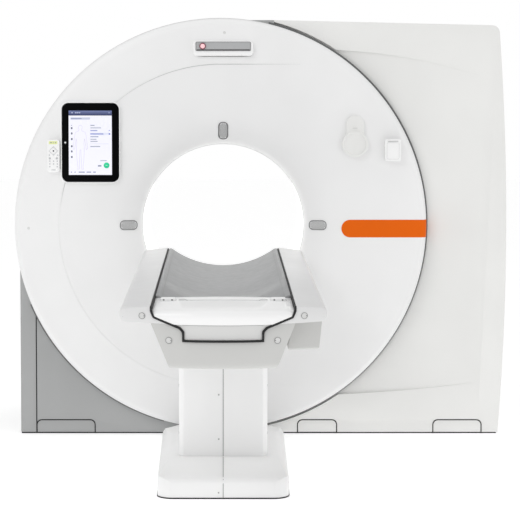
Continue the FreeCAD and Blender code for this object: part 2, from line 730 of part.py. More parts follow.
proud = size("display_proud")
display = prism(
    rounded(-size("display_half"), size("display_half"), size("display_low"), size("display_high"), 14),
    -proud,
    size("disc_depth") / 2,
)
front_edges = [edge for edge in display.Edges if edge.BoundBox.YMax < -proud + 0.01]
piece("display_housing", seated(display.makeFillet(4, front_edges)))
window_path = rounded(-size("window_half"), size("window_half"), size("window_low"), size("window_high"), 8)
window_front = -proud - size("glass_thick")
piece("display_window", prism(window_path, window_front, -proud))

lamp = doc.addObject("Part::Cylinder", "indicator_lamp")
lamp.Label = "indicator_lamp"
lamp.setExpression("Radius", bound("lamp_radius"))
lamp.setExpression("Height", bound("glass_thick * 2"))
lamp.Placement = Placement(Vector(0, 0, 0), Rotation(Vector(1, 0, 0), 90))
lamp.setExpression(".Placement.Base.x", bound("-lamp_left"))
lamp.setExpression(".Placement.Base.y", bound("-display_proud - glass_thick"))
lamp.setExpression(".Placement.Base.z", bound("lamp_height"))
keep(lamp)

half_width = size("laser_width") / 2
half_length = size("laser_length") / 2 - half_width
window_thick = size("glass_thick") / 2
glass_ring = funnel_ring(0, window_thick).translated(Vector(0, -window_thick, 0))
glass_ring = glass_ring.cut(funnel_ring(0, size("cover_wall")).translated(Vector(0, -SEAT, 0)))
windows = []
for angle in (0, 90, 180):
    capsule = prism(
        rounded(
            size("laser_radius") - size("laser_length") / 2,
            size("laser_radius") + size("laser_length") / 2,
            -half_width,
            half_width,
            half_width * 0.98,
        ),
        -size("laser_width"),
        size("funnel_depth"),
    )
    capsule.rotate(Vector(0, 0, 0), Vector(0, -1, 0), angle)
    windows.append(capsule.translated(Vector(0, 0, AXIS)).common(glass_ring))
piece("laser_windows", Part.Compound(windows))

# tablet computer in its dock
dock_front = -size("dock_thick")
lip = size("dock_lip")
dock_path = rounded(-size("dock_left"), -size("dock_right"), size("dock_low"), size("dock_high"),
                    size("tablet_round") + size("dock_lip"))
tablet_left, tablet_right = -size("dock_left") + lip, -size("dock_right") - lip
tablet_low, tablet_high = size("dock_low") + lip, size("dock_high") - lip
tablet_path = rounded(tablet_left, tablet_right, tablet_low, tablet_high, size("tablet_round"))
tablet_back = dock_front + size("tablet_thick") * 0.6
tablet_front = tablet_back - size("tablet_thick")
dock = seated(prism(dock_path, dock_front, size("disc_depth") / 2))
piece("tablet_dock", dock.cut(prism(tablet_path, dock_front - 1, tablet_back)))
tablet = prism(tablet_path, tablet_front, tablet_back)
button_x = tablet_left + size("bezel_side") * 0.45
button_z = (tablet_low + tablet_high) / 2
piece("tablet_body", tablet.cut(button_well(size("button_radius"), button_x, button_z, tablet_front)))
screen_path = rounded(
    tablet_left + size("bezel_side"),
    tablet_right - size("bezel_side"),
    tablet_low + size("bezel_end"),
    tablet_high - size("bezel_end"),
    2,
)
piece("tablet_screen", prism(screen_path, tablet_front - size("glass_thick") / 2, tablet_front))


push_button("tablet_home_button", tablet_front, circle(button_x, button_z, size("button_radius")))

# remote control beside it
remote_front = -size("remote_thick")
remote_left, remote_right = -size("remote_left"), -size("remote_right")
remote_x = (remote_left + remote_right) / 2
remote_path = rounded(
    remote_left,
    remote_right,
    size("remote_low"),
    size("remote_high"),
    (remote_right - remote_left) * 0.23,
)
remote = seated(prism(remote_path, remote_front, size("disc_depth") / 2))
pad_outline = diamond(remote_x, size("pad_height"), size("pad_half"))
pad_well = diamond(remote_x, size("pad_height"), size("pad_half") + size("button_gap") * 1.5)
remote = remote.cut(prism(pad_well, remote_front - 1, remote_front + WELL))
key_z = size("key_height")
for label, side in (("remote_key_left", -1), ("remote_key_right", 1)):
    key_x = remote_x + side * size("key_spread")
    remote = remote.cut(button_well(size("key_radius"), key_x, key_z, remote_front))
    push_button(label, remote_front, circle(key_x, key_z, size("key_radius")))
piece("remote_body", remote)
push_button("remote_pad", remote_front, pad_outline)

# holders and the coloured band
holder_x, holder_z = size("holder_right"), size("holder_height")
tab = size("holder_tab_half")
tab_path = rounded(holder_x - tab, holder_x + tab, holder_z, size("holder_tab_top"), tab * 0.98)
reach = size("disc_depth") / 2
holder = prism(tab_path, -size("holder_proud") * 0.6, reach).fuse(
    rod(size("holder_radius"), holder_x, holder_z, -size("holder_proud"), reach)
)
holder_front = -size("holder_proud")
dish = rod(size("holder_radius") * 0.82, holder_x, holder_z,
           holder_front - 1, holder_front + size("holder_dish"))
piece("round_holder", seated(holder.cut(dish)))

pocket_wall = size("pocket_wall")
pocket_path = rounded(size("pocket_left"), size("pocket_right"), size("pocket_low"), size("pocket_high"), 8)
pocket = seated(prism(pocket_path, -size("pocket_proud"), reach))
pocket_space = block(
    size("pocket_left") + pocket_wall,
    size("pocket_right") - pocket_wall,
    -size("pocket_proud") + pocket_wall,
    -pocket_wall,
    size("pocket_low") + pocket_wall,
    size("pocket_high") + 1,
)
piece("pocket_holder", pocket.cut(pocket_space))

band_middle = (size("band_low") + size("band_high")) / 2
band_half = (size("band_high") - size("band_low")) / 2
band_path = [
    (size("band_start") + band_half, size("band_low")),
    (size("disc_radius") + 20, size("band_low")),
    (size("disc_radius") + 20, size("band_high")),
    (size("band_start") + band_half, size("band_high")),
    ((size("band_start"), band_middle), (size("band_start") + band_half, size("band_low"))),
]
foil = disc_solid(-size("band_thick"), True, size("disc_depth")).cut(disc_mass)
piece("coloured_band", foil.common(prism(band_path, -5, size("disc_depth") - 1)))


# ---- floor frame, bearing and drive -------------------------------------------------------------

FRAME_LEFT = LEFT_SIDE + WALL
FRAME_RIGHT = size("side_low") - WALL - JOINT
FRAME_FRONT = PANEL_FRONT + WALL
FRAME_BACK = PANEL_BACK - WALL
BEAM = size("base_beam")
BASE = size("base_height")

PLATE = size("stator_front")
PLATE_BACK = PLATE + size("stator_thick")
FLANGE = 20

base = block(FRAME_LEFT, FRAME_RIGHT, FRAME_FRONT, FRAME_BACK, 0, BASE)
cross_beams = (FRAME_LEFT, -size("stator_radius"), size("stator_radius") - BEAM, FRAME_RIGHT - BEAM)
for start, end in zip(cross_beams, cross_beams[1:]):
    base = base.cut(block(start + BEAM, end, FRAME_FRONT + BEAM, PLATE - FLANGE, -1, BASE + 1))
    base = base.cut(block(start + BEAM, end, PLATE_BACK + FLANGE, FRAME_BACK - BEAM, -1, BASE + 1))
inset = size("anchor_inset")
for x in (FRAME_LEFT + inset, FRAME_RIGHT - inset):
    for y in (FRAME_FRONT + inset, FRAME_BACK - inset):
        base = base.cut(Part.makeCylinder(size("anchor_radius"), BASE + 2, Vector(x, y, -1)))
piece("gantry_base_frame", base.cut(sculpted_front(WALL)))

stand_radius = size("stator_radius")
motor_x, motor_z, motor_radius = size("motor_right"), size("motor_height"), size("motor_radius")
bearing_plate = prism(
    [
        (-stand_radius, BASE),
        (motor_x + motor_radius, BASE),
        (motor_x + motor_radius, motor_z + motor_radius),
        (motor_x - motor_radius, motor_z + motor_radius * 3 / 2),
        (stand_radius, motor_z + 2 * motor_radius),
        (stand_radius, AXIS),
        ((0, AXIS + stand_radius), (-stand_radius, AXIS)),
    ],
    PLATE,
    PLATE_BACK,
)
bearing_plate = bearing_plate.cut(rod(size("bearing_outer"), 0, AXIS, PLATE - 1, PLATE_BACK + 1))
shaft_hole = rod(size("shaft_radius") + size("run_gap"), motor_x, motor_z, PLATE - 1, PLATE_BACK + 1)
piece("bearing_plate", bearing_plate.cut(shaft_hole))

turned_body(
    "bearing_outer_ring",
    [
        ("bearing_split + bearing_gap", "stator_front"),
        ("bearing_outer", "stator_front"),
        ("bearing_outer", "stator_front + stator_thick"),
        ("bearing_split + bearing_gap", "stator_front + stator_thick"),
    ],
)
turned_body(
    "bearing_inner_ring",
    [
        ("hub_outer", "stator_front"),
        ("bearing_split", "stator_front"),
        ("bearing_split", "stator_front + stator_thick"),
        ("hub_outer", "stator_front + stator_thick"),
    ],
)
turned_body(
    "rotor_drum",
    [
        ("hub_inner", "web_front"),
        ("rim_radius - rim_wall", "web_front"),
        ("rim_radius - rim_wall", "rim_front"),
        ("rim_radius", "rim_front"),
        ("rim_radius", "web_front + web_thick"),
        ("hub_outer", "web_front + web_thick"),
        ("hub_outer", "hub_back"),
        ("hub_inner", "hub_back"),
    ],
)

tracks = 4
pitch = size("ring_width") / tracks
ring_steps = [(size("hub_outer"), size("ring_front")), (size("ring_radius"), size("ring_front"))]
for track in range(tracks):
    groove = size("ring_front") + (track + 0.5) * pitch - size("track_width") / 2
    floor_radius = size("ring_radius") - size("track_depth")
    ring_steps += [
        (size("ring_radius"), groove),
        (floor_radius, groove),
        (floor_radius, groove + size("track_width")),
        (size("ring_radius"), groove + size("track_width")),
    ]
ring_end = size("ring_front") + size("ring_width")
ring_steps += [(size("ring_radius"), ring_end), (size("hub_outer"), ring_end)]
piece("slip_ring", turned(ring_steps, 0, AXIS))

brush_low = AXIS + size("ring_radius") + size("run_gap")
brush_top = AXIS + size("bearing_outer") + size("brush_rise")
brush = block(-size("brush_half"), size("brush_half"), PLATE_BACK, ring_end, brush_low, brush_top)
running_room = rod(size("ring_radius") + size("run_gap"), 0, AXIS, PLATE_BACK - 1, ring_end + 1)
piece("brush_block", brush.cut(running_room))

# motor behind the plate, pulley and belt in front of it
shaft_end = PLATE_BACK + size("shaft_reach")
motor = rod(motor_radius, motor_x, motor_z, PLATE_BACK, PLATE_BACK + size("motor_length"))
motor_bore = rod(size("shaft_radius") + size("run_gap"), motor_x, motor_z, PLATE_BACK - 1, shaft_end + 2)
piece("drive_motor", motor.cut(motor_bore))

rim_back = size("web_front") + size("web_thick")
belt_front = (size("rim_front") + rim_back - size("belt_width")) / 2
flange = size("pulley_flange")
pulley_back = belt_front + size("belt_width") + flange
pulley = rod(size("pulley_radius"), motor_x, motor_z, belt_front - flange, pulley_back)
pulley = pulley.fuse(rod(size("shaft_radius"), motor_x, motor_z, belt_front, shaft_end))
piece("motor_pulley", pulley)


def belt_loop(grow):
    """The outer tangents round the rotor's rim and the pulley, both grown by the same amount."""
    large = size("rim_radius") + size("run_gap") + grow
    small = size("pulley_radius") + size("run_gap") + grow
    down = math.atan2(motor_z - AXIS, motor_x)
    wrap = math.acos((large - small) / math.hypot(motor_x, motor_z - AXIS))

    def on(radius, x, z, angle):
        return x + radius * math.cos(angle), z + radius * math.sin(angle)

    return [
        on(large, 0, AXIS, down + wrap),
        (on(large, 0, AXIS, down + math.pi), on(large, 0, AXIS, down - wrap)),
        on(small, motor_x, motor_z, down - wrap),
        (on(small, motor_x, motor_z, down), on(small, motor_x, motor_z, down + wrap)),
    ]


belt = prism(belt_loop(size("belt_thick")), belt_front, belt_front + size("belt_width"))
piece("drive_belt", belt.cut(prism(belt_loop(0), belt_front - 1, belt_front + size("belt_width") + 1)))

cabinet = doc.addObject("Part::Box", "power_cabinet")
cabinet.Label = "power_cabinet"
for field, rule in (
    ("Length", "side_low - motor_right - motor_radius - cabinet_room * 2"),
    ("Width", "gantry_depth - cabinet_inset * 2"),
    ("Height", "cabinet_height"),
    (".Placement.Base.x", "motor_right + motor_radius + cabinet_room"),
    (".Placement.Base.y", "cabinet_inset"),
    (".Placement.Base.z", "base_height"),
):
    cabinet.setExpression(field, bound(rule))
keep(cabinet)

# ---- what turns with the drum -------------------------------------------------------------------

WEB = size("web_front")
FOCUS = AXIS + size("focus_radius")
tube_low = FOCUS - size("tube_radius")
tube = rod(size("tube_radius"), 0, FOCUS, size("tube_front"), WEB)
tube_half = size("tube_radius")
tube_foot = block(-tube_half, tube_half, size("tube_front") + size("tube_nose"), WEB, tube_low, FOCUS)
piece("xray_tube", tube.fuse(tube_foot))
half, low_half, slot_half = size("collimator_width") / 2, size("collimator_end") / 2, size("slot_width") / 2
exit_height = tube_low - size("collimator_height")
collimator = prism(
    [(-half, tube_low), (-low_half, exit_height), (low_half, exit_height), (half, tube_low)],
    size("detector_front"),
    WEB,
)
slot_front, slot_back = size("detector_front") + size("slot_inset"), WEB - size("slot_inset")
slot = block(-slot_half, slot_half, slot_front, slot_back, exit_height - 1, tube_low - size("slot_skin"))
piece("collimator", collimator.cut(slot))

fan = math.radians(size("detector_angle"))


def on_fan(radius, angle):
    """A point at a distance and an angle from the focal spot, the middle of the fan pointing down."""
    return radius * math.sin(angle), FOCUS - radius * math.cos(angle)


near_arc, far_arc = size("detector_radius"), size("detector_radius") + size("detector_thick")
detector = prism(
    [
        on_fan(near_arc, -fan),
        (on_fan(near_arc, 0), on_fan(near_arc, fan)),
        on_fan(far_arc, fan),
        (on_fan(far_arc, 0), on_fan(far_arc, -fan)),
    ],
    size("detector_front"),
    WEB,
)
module_count = 18
joint_half = size("module_joint") / 2
modules_back = size("detector_front") + size("module_length")
for step in range(1, module_count):
    angle = -fan + 2 * fan * step / module_count
    deep = -near_arc - size("module_height")
    cut_line = block(-joint_half, joint_half, size("detector_front") - 1, modules_back, deep, -near_arc + 5)
    cut_line.rotate(Vector(0, 0, 0), Vector(0, -1, 0), math.degrees(angle))
    detector = detector.cut(cut_line.translated(Vector(0, 0, FOCUS)))
piece("detector_arc", detector)


def drum_box(label, kind, front):
    """A box bolted to the web inside the belt rim, square to the radius at its angle."""
    outer = size("rim_radius") - size("rim_wall") - size("box_room")
    half_width = size(kind + "_width") / 2
    box = block(outer - size(kind + "_height"), outer, front, WEB, -half_width, half_width)
    box.rotate(Vector(0, 0, 0), Vector(0, -1, 0), size(kind + "_angle"))
    return piece(label, box.translated(Vector(0, 0, AXIS)))


drum_box("hv_generator", "generator", size("box_front"))
drum_box("tube_cooler", "cooler", size("box_front"))
drum_box("counterweight", "weight", size("detector_front"))


# ---- patient table: cradle ----------------------------------------------------------------------

NEAR = -size("table_near")
FAR = -size("table_far")
GASKET = size("gasket_width")
GAP = size("slide_gap")


def profile_half():
    """The right half of the end cap's profile, from its top corner down to its underside."""
    return [
        (size("cradle_half"), size("cradle_shoulder")),
        (size("knee_half"), size("knee_height")),
        (size("step_half"), size("step_height")),
        (size("tray_half"), size("tray_height")),
        (size("tray_half"), size("tray_low")),
    ]


def passage(grow, top):
    """The end cap's profile grown by a gap and open up to a height above the table."""
    half = profile_half()
    points = [(size("cradle_half"), top)] + half
    points = points + [(-x, z) for x, z in reversed(points)]
    flat = face_of(points, lambda x, z: Vector(x, 0, z))
    return flat.makeOffset2D(grow, 2) if grow else flat


def along(flat, front, back):
    """A flat profile at Y zero made a solid between two places along Y."""
    return flat.translated(Vector(0, front, 0)).extrude(Vector(0, back - front, 0))


def bowed(drop_back, far):
    """The table's plan: its near end is one long bow with round corners, moved back by an amount."""
    half = size("wing_half")
    swept = size("bow_drop")
    near = NEAR + drop_back
    outline = [(-half, far), (-half, near + swept), ((0, near), (half, near + swept)), (half, far)]
    plan = slab(outline, 0, 2 * AXIS)
    upright = [edge for edge in plan.Edges if edge.BoundBox.ZLength > AXIS]
    corners = [edge for edge in upright if edge.BoundBox.YMax < near + swept + 1]
    return plan.makeFillet(size("plan_round"), corners)


wing_half = size("wing_half")
CAP_FAR = NEAR + size("cap_length")
half_profile = profile_half()
cap_points = half_profile + [(-x, z) for x, z in reversed(half_profile)]
crown = (0, size("cradle_shoulder") + size("cap_crown"))
end_cap = prism(cap_points[1:] + [(crown, cap_points[0])], NEAR - 1, CAP_FAR).common(bowed(0, CAP_FAR))


def near_upper_edges(solid, low):
    """The edges that run round the near end above a height."""
    chosen = []
    for edge in solid.Edges:
        middle = edge.valueAt((edge.FirstParameter + edge.LastParameter) / 2)
        spread = edge.BoundBox.XMax - edge.BoundBox.XMin
        if middle.z > low and middle.y < NEAR + 10 and spread > size("cradle_half"):
            chosen.append(edge)
    return chosen


end_cap = end_cap.makeFillet(size("cap_edge"), near_upper_edges(end_cap, size("cradle_shoulder")))
lug_top = size("cradle_shoulder") + size("lug_proud")
grip_near, grip_far = CAP_FAR - size("grip_near"), CAP_FAR - size("grip_far")
grip_round = (grip_far - grip_near) * 0.45
grip_path = rounded(-size("grip_half"), size("grip_half"), grip_near, grip_far, grip_round)
end_cap = end_cap.cut(slab(grip_path, size("cradle_shoulder") - size("grip_depth"), 2 * AXIS))
for side in (-1, 1):
    middle = side * size("lug_spread")
    lug = slab(
        rounded(
            middle - size("lug_length") / 2,
            middle + size("lug_length") / 2,
            CAP_FAR - size("lug_inset") - size("lug_width"),
            CAP_FAR - size("lug_inset"),
            size("lug_round"),
        ),
        size("knee_height"),
        lug_top,
    )
    end_cap = end_cap.fuse(lug)
under_cap = block(-wing_half, wing_half, NEAR - 1, FAR, 0, size("cap_line"))
set_back = under_cap.cut(bowed(size("cap_step"), FAR + 1))
piece("cradle_end_cap", end_cap.cut(set_back))

lip_inner = size("cradle_half") - size("lip_width")
sag = size("cradle_sag")
bed_low = size("cradle_lip") - sag
bed_under = bed_low - size("cradle_thick")
cradle_half = [
    (size("cradle_half"), size("cradle_lip")),
    (size("cradle_half"), size("cradle_shoulder")),
    (size("knee_half"), size("knee_height")),
    (size("step_half"), size("step_height")),
    (size("tray_half"), size("tray_height")),
    (size("tray_half"), bed_under),
]
cradle_points = [(lip_inner, size("cradle_lip"))] + cradle_half + [(-x, z) for x, z in reversed(cradle_half)]
cradle_points += [(-lip_inner, size("cradle_lip")), ((0, bed_low), (lip_inner, size("cradle_lip")))]
cradle = prism(cradle_points, CAP_FAR, -size("cradle_far"))
piece("cradle_shell", cradle)

rail_top = size("rail_top")
carriage = []
slope = (size("knee_height") - size("step_height")) / (size("knee_half") - size("step_half"))
for side in (-1, 1):
    inner, outer = size("rail_inner"), size("rail_outer")
    points = [
        (side * inner, rail_top + GAP),
        (side * outer, rail_top + GAP),
        (side * outer, size("step_height") + slope * (outer - size("step_half"))),
        (side * inner, size("step_height") + slope * (inner - size("step_half"))),
    ]
    carriage.append(prism(points, -size("carriage_near"), -size("carriage_far")))
piece("cradle_carriage", Part.Compound(carriage))

# ---- patient table: wings, housing and gasket ---------------------------------------------------

corridor = along(passage(GAP + GASKET, 2 * AXIS), NEAR - 10, size("gantry_depth"))
wing_low = size("wing_low")
bend = size("wing_round")
cut = bend * HALF_TURN
wing_path = [
    (0, wing_low),
    (wing_half - bend, wing_low),
    ((wing_half - bend + cut, wing_low + bend - cut), (wing_half, wing_low + bend)),
    (wing_half, size("wing_edge") - bend),
    ((wing_half - bend + cut, size("wing_edge") - bend + cut), (wing_half - bend, size("wing_edge"))),
    (size("cradle_half"), size("table_top")),
    (0, size("table_top")),
]
wing = prism(wing_path, NEAR - 1, FAR).common(bowed(2, FAR)).cut(corridor)
piece("side_wing_right", wing)
piece("side_wing_left", mirrored(wing))

housing_low = size("housing_low")


def trough(inset, top):
    """The housing's section: sides that lean in towards its underside."""
    high_half = size("housing_top_half") - inset
    low_half = size("housing_low_half") - inset
    low = housing_low + inset
    return [(-high_half, top), (-low_half, low), (low_half, low), (high_half, top)]


skin = size("housing_wall")
housing = prism(trough(0, wing_low), NEAR - 1, FAR - 10).common(bowed(4, FAR - 10))
low_front = [edge for edge in housing.Edges
             if edge.BoundBox.ZMax < housing_low + 1 and edge.BoundBox.YMax < CAP_FAR]
housing = housing.makeFillet(size("housing_edge"), low_front)
hollow = prism(trough(skin, wing_low + 1), NEAR - 1, FAR - 10 - skin).common(bowed(4 + skin, FAR))
housing = housing.cut(hollow).cut(corridor)
rise = (size("housing_top_half") - size("housing_low_half")) / (wing_low - housing_low)
shroud_space = block(
    -size("shroud_half") - JOINT,
    size("shroud_half") + JOINT,
    -size("shroud_near") - JOINT,
    -size("shroud_far") + JOINT,
    housing_low - 1,
    housing_low + skin + (skin + JOINT) / rise,
)
chassis_low = size("chassis_low")
chassis_top = chassis_low + size("chassis_thick")
ties = []
for side in (-1, 1):
    for place in (NEAR + 2 * size("bow_drop"), size("tie_length") - size("shroud_far"),
                  FAR - size("bow_drop")):
        outer_low = size("rail_outer")
        inner_wall = size("housing_low_half") - skin / 2 + rise * (chassis_low - housing_low)
        left, right = sorted((side * outer_low, side * inner_wall))
        ties.append(block(left, right, place, place + size("tie_length"), chassis_low, chassis_top))
piece("table_housing", housing.cut(shroud_space).fuse(ties))

rubber = along(passage(GAP + GASKET - 0.2, 2 * AXIS), NEAR - 1, FAR).cut(
    along(passage(GAP, 2 * AXIS), NEAR - 2, FAR + 1)
)
rubber = rubber.common(bowed(0, FAR))
rubber = rubber.common(block(-wing_half, wing_half, NEAR - 1, FAR, 0, size("cradle_lip")))
rim_top = size("knee_height") + 2 * GASKET
behind_rim = bowed(16, FAR + 1).common(block(-wing_half, wing_half, NEAR - 1, FAR + 1, 0, rim_top))
piece("edge_gasket", rubber.cut(behind_rim))

screws = []
for spread, height, back in (
    (size("wing_screw_spread"), size("wing_screw_height"), 2),
    (size("housing_screw_spread"), size("housing_screw_height"), 4),
):
    for side in (-1, 1):
        stud = rod(size("screw_radius"), side * spread, height, NEAR, NEAR + size("bow_drop"))
        screws.append(stud.common(bowed(back - size("screw_proud"), FAR)).cut(bowed(back - SEAT, FAR)))
piece("screw_caps", Part.Compound(screws))

storage = prism(
    [
        (size("box_inner") - size("box_lean_inner"), size("box_low")),
        (size("box_outer") - size("box_lean_outer"), size("box_low") + size("box_tilt")),
        (size("box_outer"), wing_low),
        (size("box_inner"), wing_low),
    ],
    -size("box_near"),
    -size("box_far"),
)
low_edges = [edge for edge in storage.Edges if edge.BoundBox.ZMax < wing_low - 1]
storage = storage.makeFillet(size("box_edge"), low_edges)
beside_housing = prism(trough(-JOINT, wing_low), -size("box_near") - 1, -size("box_far") + 1)
piece("accessory_box", storage.cut(beside_housing))

# ---- chassis, rails and lift --------------------------------------------------------------------

padded_body(
    "table_chassis",
    "XY_Plane",
    [
        ("-chassis_half", "-table_near + bow_drop"),
        ("chassis_half", "-table_near + bow_drop"),
        ("chassis_half", "-table_far - bow_drop / 2"),
        ("-chassis_half", "-table_far - bow_drop / 2"),
    ],
    "chassis_thick",
    "chassis_low",
)

rails = []
for side in (-1, 1):
    inner, outer = size("rail_inner"), size("rail_outer")
    left, right = sorted((side * inner, side * outer))
    near, far = NEAR + size("bow_drop"), FAR - size("bow_drop") / 2
    rails.append(block(left, right, near, far, chassis_low, rail_top))
piece("guide_rails", Part.Compound(rails))

middle = -size("column_middle")
column_half = size("column_half")
column_wall = size("column_wall")


def tube_column(half, wall, low, high):
    """A square lift column, open at both ends."""
    outer = block(-half, half, middle - half, middle + half, low, high)
    hole = half - wall
    return outer.cut(block(-hole, hole, middle - hole, middle + hole, low - 1, high + 1))


head_low = chassis_low - size("head_thick")
inner_column = tube_column(column_half, column_wall, size("column_bottom"), head_low)
head_half = column_half + size("head_side")
head_reach = column_half + size("head_end")
head = block(-head_half, head_half, middle - head_reach, middle + head_reach, head_low, chassis_low)
piece("lift_column_inner", inner_column.fuse(head))

outer_half = column_half + GAP + column_wall
outer_column = tube_column(outer_half, column_wall, size("plate_thick"), size("column_outer_top"))
piece("lift_column_outer", outer_column)

floor_plate = doc.addObject("Part::Box", "table_floor_plate")
floor_plate.Label = "table_floor_plate"
for field, rule in (
    ("Length", "plate_half * 2"),
    ("Width", "plate_near + disc_depth + seam_width + cover_wall"),
    ("Height", "plate_thick"),
    (".Placement.Base.x", "-plate_half"),
    (".Placement.Base.y", "-plate_near"),
):
    floor_plate.setExpression(field, bound(rule))
keep(floor_plate)

# ---- pedestal: column cover and foot ------------------------------------------------------------

shroud_near, shroud_far = -size("shroud_near"), -size("shroud_far")


def chamfered(half, near, far, edge):
    """A rectangle in plan with its corners cut off."""
    return [
        (-half + edge, near),
        (half - edge, near),
        (half, near + edge),
        (half, far - edge),
        (half - edge, far),
        (-half + edge, far),
        (-half, far - edge),
        (-half, near + edge),
    ]


wall = size("shroud_wall")
outer_plan = chamfered(size("shroud_half"), shroud_near, shroud_far, size("shroud_edge"))
shroud = slab(outer_plan, size("shroud_low"), size("shroud_high"))
inner_plan = chamfered(size("shroud_half") - wall, shroud_near + wall, shroud_far - wall, size("shroud_edge"))
shroud = shroud.cut(slab(inner_plan, size("shroud_low") - 1, size("shroud_high") + 1))
guide_half = outer_half + GAP
for side in (-1, 1):
    left, right = sorted((side * guide_half, side * (size("shroud_half") - wall / 2)))
    front, back = middle - size("rib_half"), middle + size("rib_half")
    shroud = shroud.fuse(block(left, right, front, back, size("rib_low"), size("rib_high")))
right_half = block(0, 2 * size("shroud_half"), 2 * shroud_near, 0, 0, AXIS)
piece("column_cover_right", shroud.common(right_half))
piece("column_cover_left", shroud.cut(right_half))


def foot_solid(inset):
    """The foot: round corners in plan, its top sloping up to the column and down to the gantry,
    where its sides are hollowed."""
    near, far = -size("foot_near") + inset, -size("foot_far") - inset
    half, rear_half = size("foot_half") - inset, size("foot_rear_half") - inset
    bend = size("foot_round") - inset
    cut = bend * (1 - HALF_TURN)
    low = -1 if inset else 0
    plan = slab(
        [
            (-half + bend, near),
            (half - bend, near),
            ((half - cut, near + cut), (half, near + bend)),
            (rear_half, far),
            (-rear_half, far),
            (-half, near + bend),
            ((-half + cut, near + cut), (-half + bend, near)),
        ],
        low,
        AXIS,
    )
    nose = size("foot_nose") - inset
    nose_cut = nose * (1 - HALF_TURN)
    edge, top, rear = size("foot_edge") - inset, size("foot_top") - inset, size("foot_rear") - inset
    outline = bar(
        [
            (near, low),
            (near, edge - nose),
            ((near + nose_cut, edge - nose_cut), (near + nose, edge)),
            (shroud_near - size("foot_level") / 2, top),
            (shroud_far + size("foot_level"), top),
            (far, rear),
            (far, low),
        ],
        -AXIS,
        AXIS,
    )
    across = size("foot_rear_half") - inset
    shoulder_half = size("shroud_half") + size("foot_level")
    side_high = size("foot_side") - inset / 2
    bend_x = shoulder_half + (across - shoulder_half) * HALF_TURN
    bend_z = side_high + (top - side_high) * HALF_TURN
    sides = prism(
        [
            (-across, low),
            (-across, side_high),
            ((-bend_x, bend_z), (-shoulder_half, top)),
            (shoulder_half, top),
            ((bend_x, bend_z), (across, side_high)),
            (across, low),
        ],
        2 * near,
        1,
    )
    behind = size("cove_radius") / 2
    lowest = size("cove_radius") + size("cove_level")
    coves = [
        Part.makeCylinder(
            size("cove_radius") + inset,
            size("foot_near") / 2,
            Vector(
                side * (size("foot_rear_half") - behind * size("cove_out")),
                behind,
                lowest - behind * size("cove_rise"),
            ),
            Vector(side * size("cove_out"), -1, size("cove_rise")),
        )
        for side in (-1, 1)
    ]
    return plan.common(outline).common(sides).cut(coves)


foot = foot_solid(0).cut(foot_solid(size("foot_wall")))
gap = size("foot_gap")
opening = chamfered(size("shroud_half") + gap, shroud_near - gap, shroud_far + gap, size("shroud_edge"))
foot = foot.cut(slab(opening, -1, AXIS))
plate_half = size("plate_half") + gap
foot = foot.cut(block(-plate_half, plate_half, -size("plate_near") - gap, 0, -1, size("plate_thick") + gap))
piece("foot_cover_right", foot.common(block(0, AXIS, 2 * shroud_near, 0, 0, AXIS)))
piece("foot_cover_left", foot.common(block(-AXIS, 0, 2 * shroud_near, 0, 0, AXIS)))


# ---- check and write ----------------------------------------------------------------------------

doc.recompute()
for item in doc.Objects:
    if {"Invalid", "Error"} & set(item.State):
        raise RuntimeError(f"{item.Label}: {item.State}")
for node in NODES:
    if node.Shape.isNull() or not node.Shape.isValid() or not node.Shape.Solids:
        raise RuntimeError(f"{node.Label} has no valid solid")

os.makedirs(PARTS, exist_ok=True)
for node in NODES:
    node.Shape.exportStep(os.path.join(PARTS, node.Label + ".step"))
    box = node.Shape.BoundBox
    print(f"{node.Label:26s} {len(node.Shape.Solids)} solid(s), {node.Shape.Volume / 1e6:9.3f} l, "
          f"x {box.XMin:.0f}..{box.XMax:.0f} y {box.YMin:.0f}..{box.YMax:.0f} "
          f"z {box.ZMin:.0f}..{box.ZMax:.0f}")
print(len(NODES), "sub-parts written")
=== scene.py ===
"""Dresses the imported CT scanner: finishes, fine fittings, studio light and the photographed view."""
import functools
import logging
import math
from dataclasses import dataclass
from enum import Enum

import bmesh
import bpy
from mathutils import Matrix, Vector
from mathutils.bvhtree import BVHTree


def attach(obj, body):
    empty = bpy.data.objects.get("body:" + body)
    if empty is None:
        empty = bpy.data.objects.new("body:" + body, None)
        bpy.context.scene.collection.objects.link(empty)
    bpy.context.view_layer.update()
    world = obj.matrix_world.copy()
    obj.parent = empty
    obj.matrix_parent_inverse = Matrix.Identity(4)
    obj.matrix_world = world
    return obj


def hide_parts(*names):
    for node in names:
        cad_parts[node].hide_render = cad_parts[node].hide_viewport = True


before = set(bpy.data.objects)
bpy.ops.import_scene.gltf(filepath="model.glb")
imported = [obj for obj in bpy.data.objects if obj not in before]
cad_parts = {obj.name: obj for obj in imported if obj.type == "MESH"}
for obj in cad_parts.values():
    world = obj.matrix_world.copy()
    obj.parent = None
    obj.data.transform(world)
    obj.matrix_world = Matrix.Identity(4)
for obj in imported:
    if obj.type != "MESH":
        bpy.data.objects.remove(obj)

MM = 0.001
log = logging.getLogger("ct_scanner")

Point = tuple[float, float, float]
Flat = tuple[float, float]
Frame = tuple[float, float, float, float]

# A noise texture seldom leaves this range, so patterns are spread between its ends.
NOISE_SPAN = (0.3, 0.7)
# Sides of the section of a fine line; it is seen only as a line.
FINE = 6


def linear(code: str) -> tuple[float, float, float, float]:
    """Turns an sRGB hex code into a linear colour.

    Args:
        code: Six hex digits, red first.

    Returns:
        Red, green, blue and an alpha of 1, all linear.
    """
    parts = [int(code[at:at + 2], 16) / 255 for at in (0, 2, 4)]
    curve = [part / 12.92 if part <= 0.04045 else ((part + 0.055) / 1.055) ** 2.4 for part in parts]
    return curve[0], curve[1], curve[2], 1.0


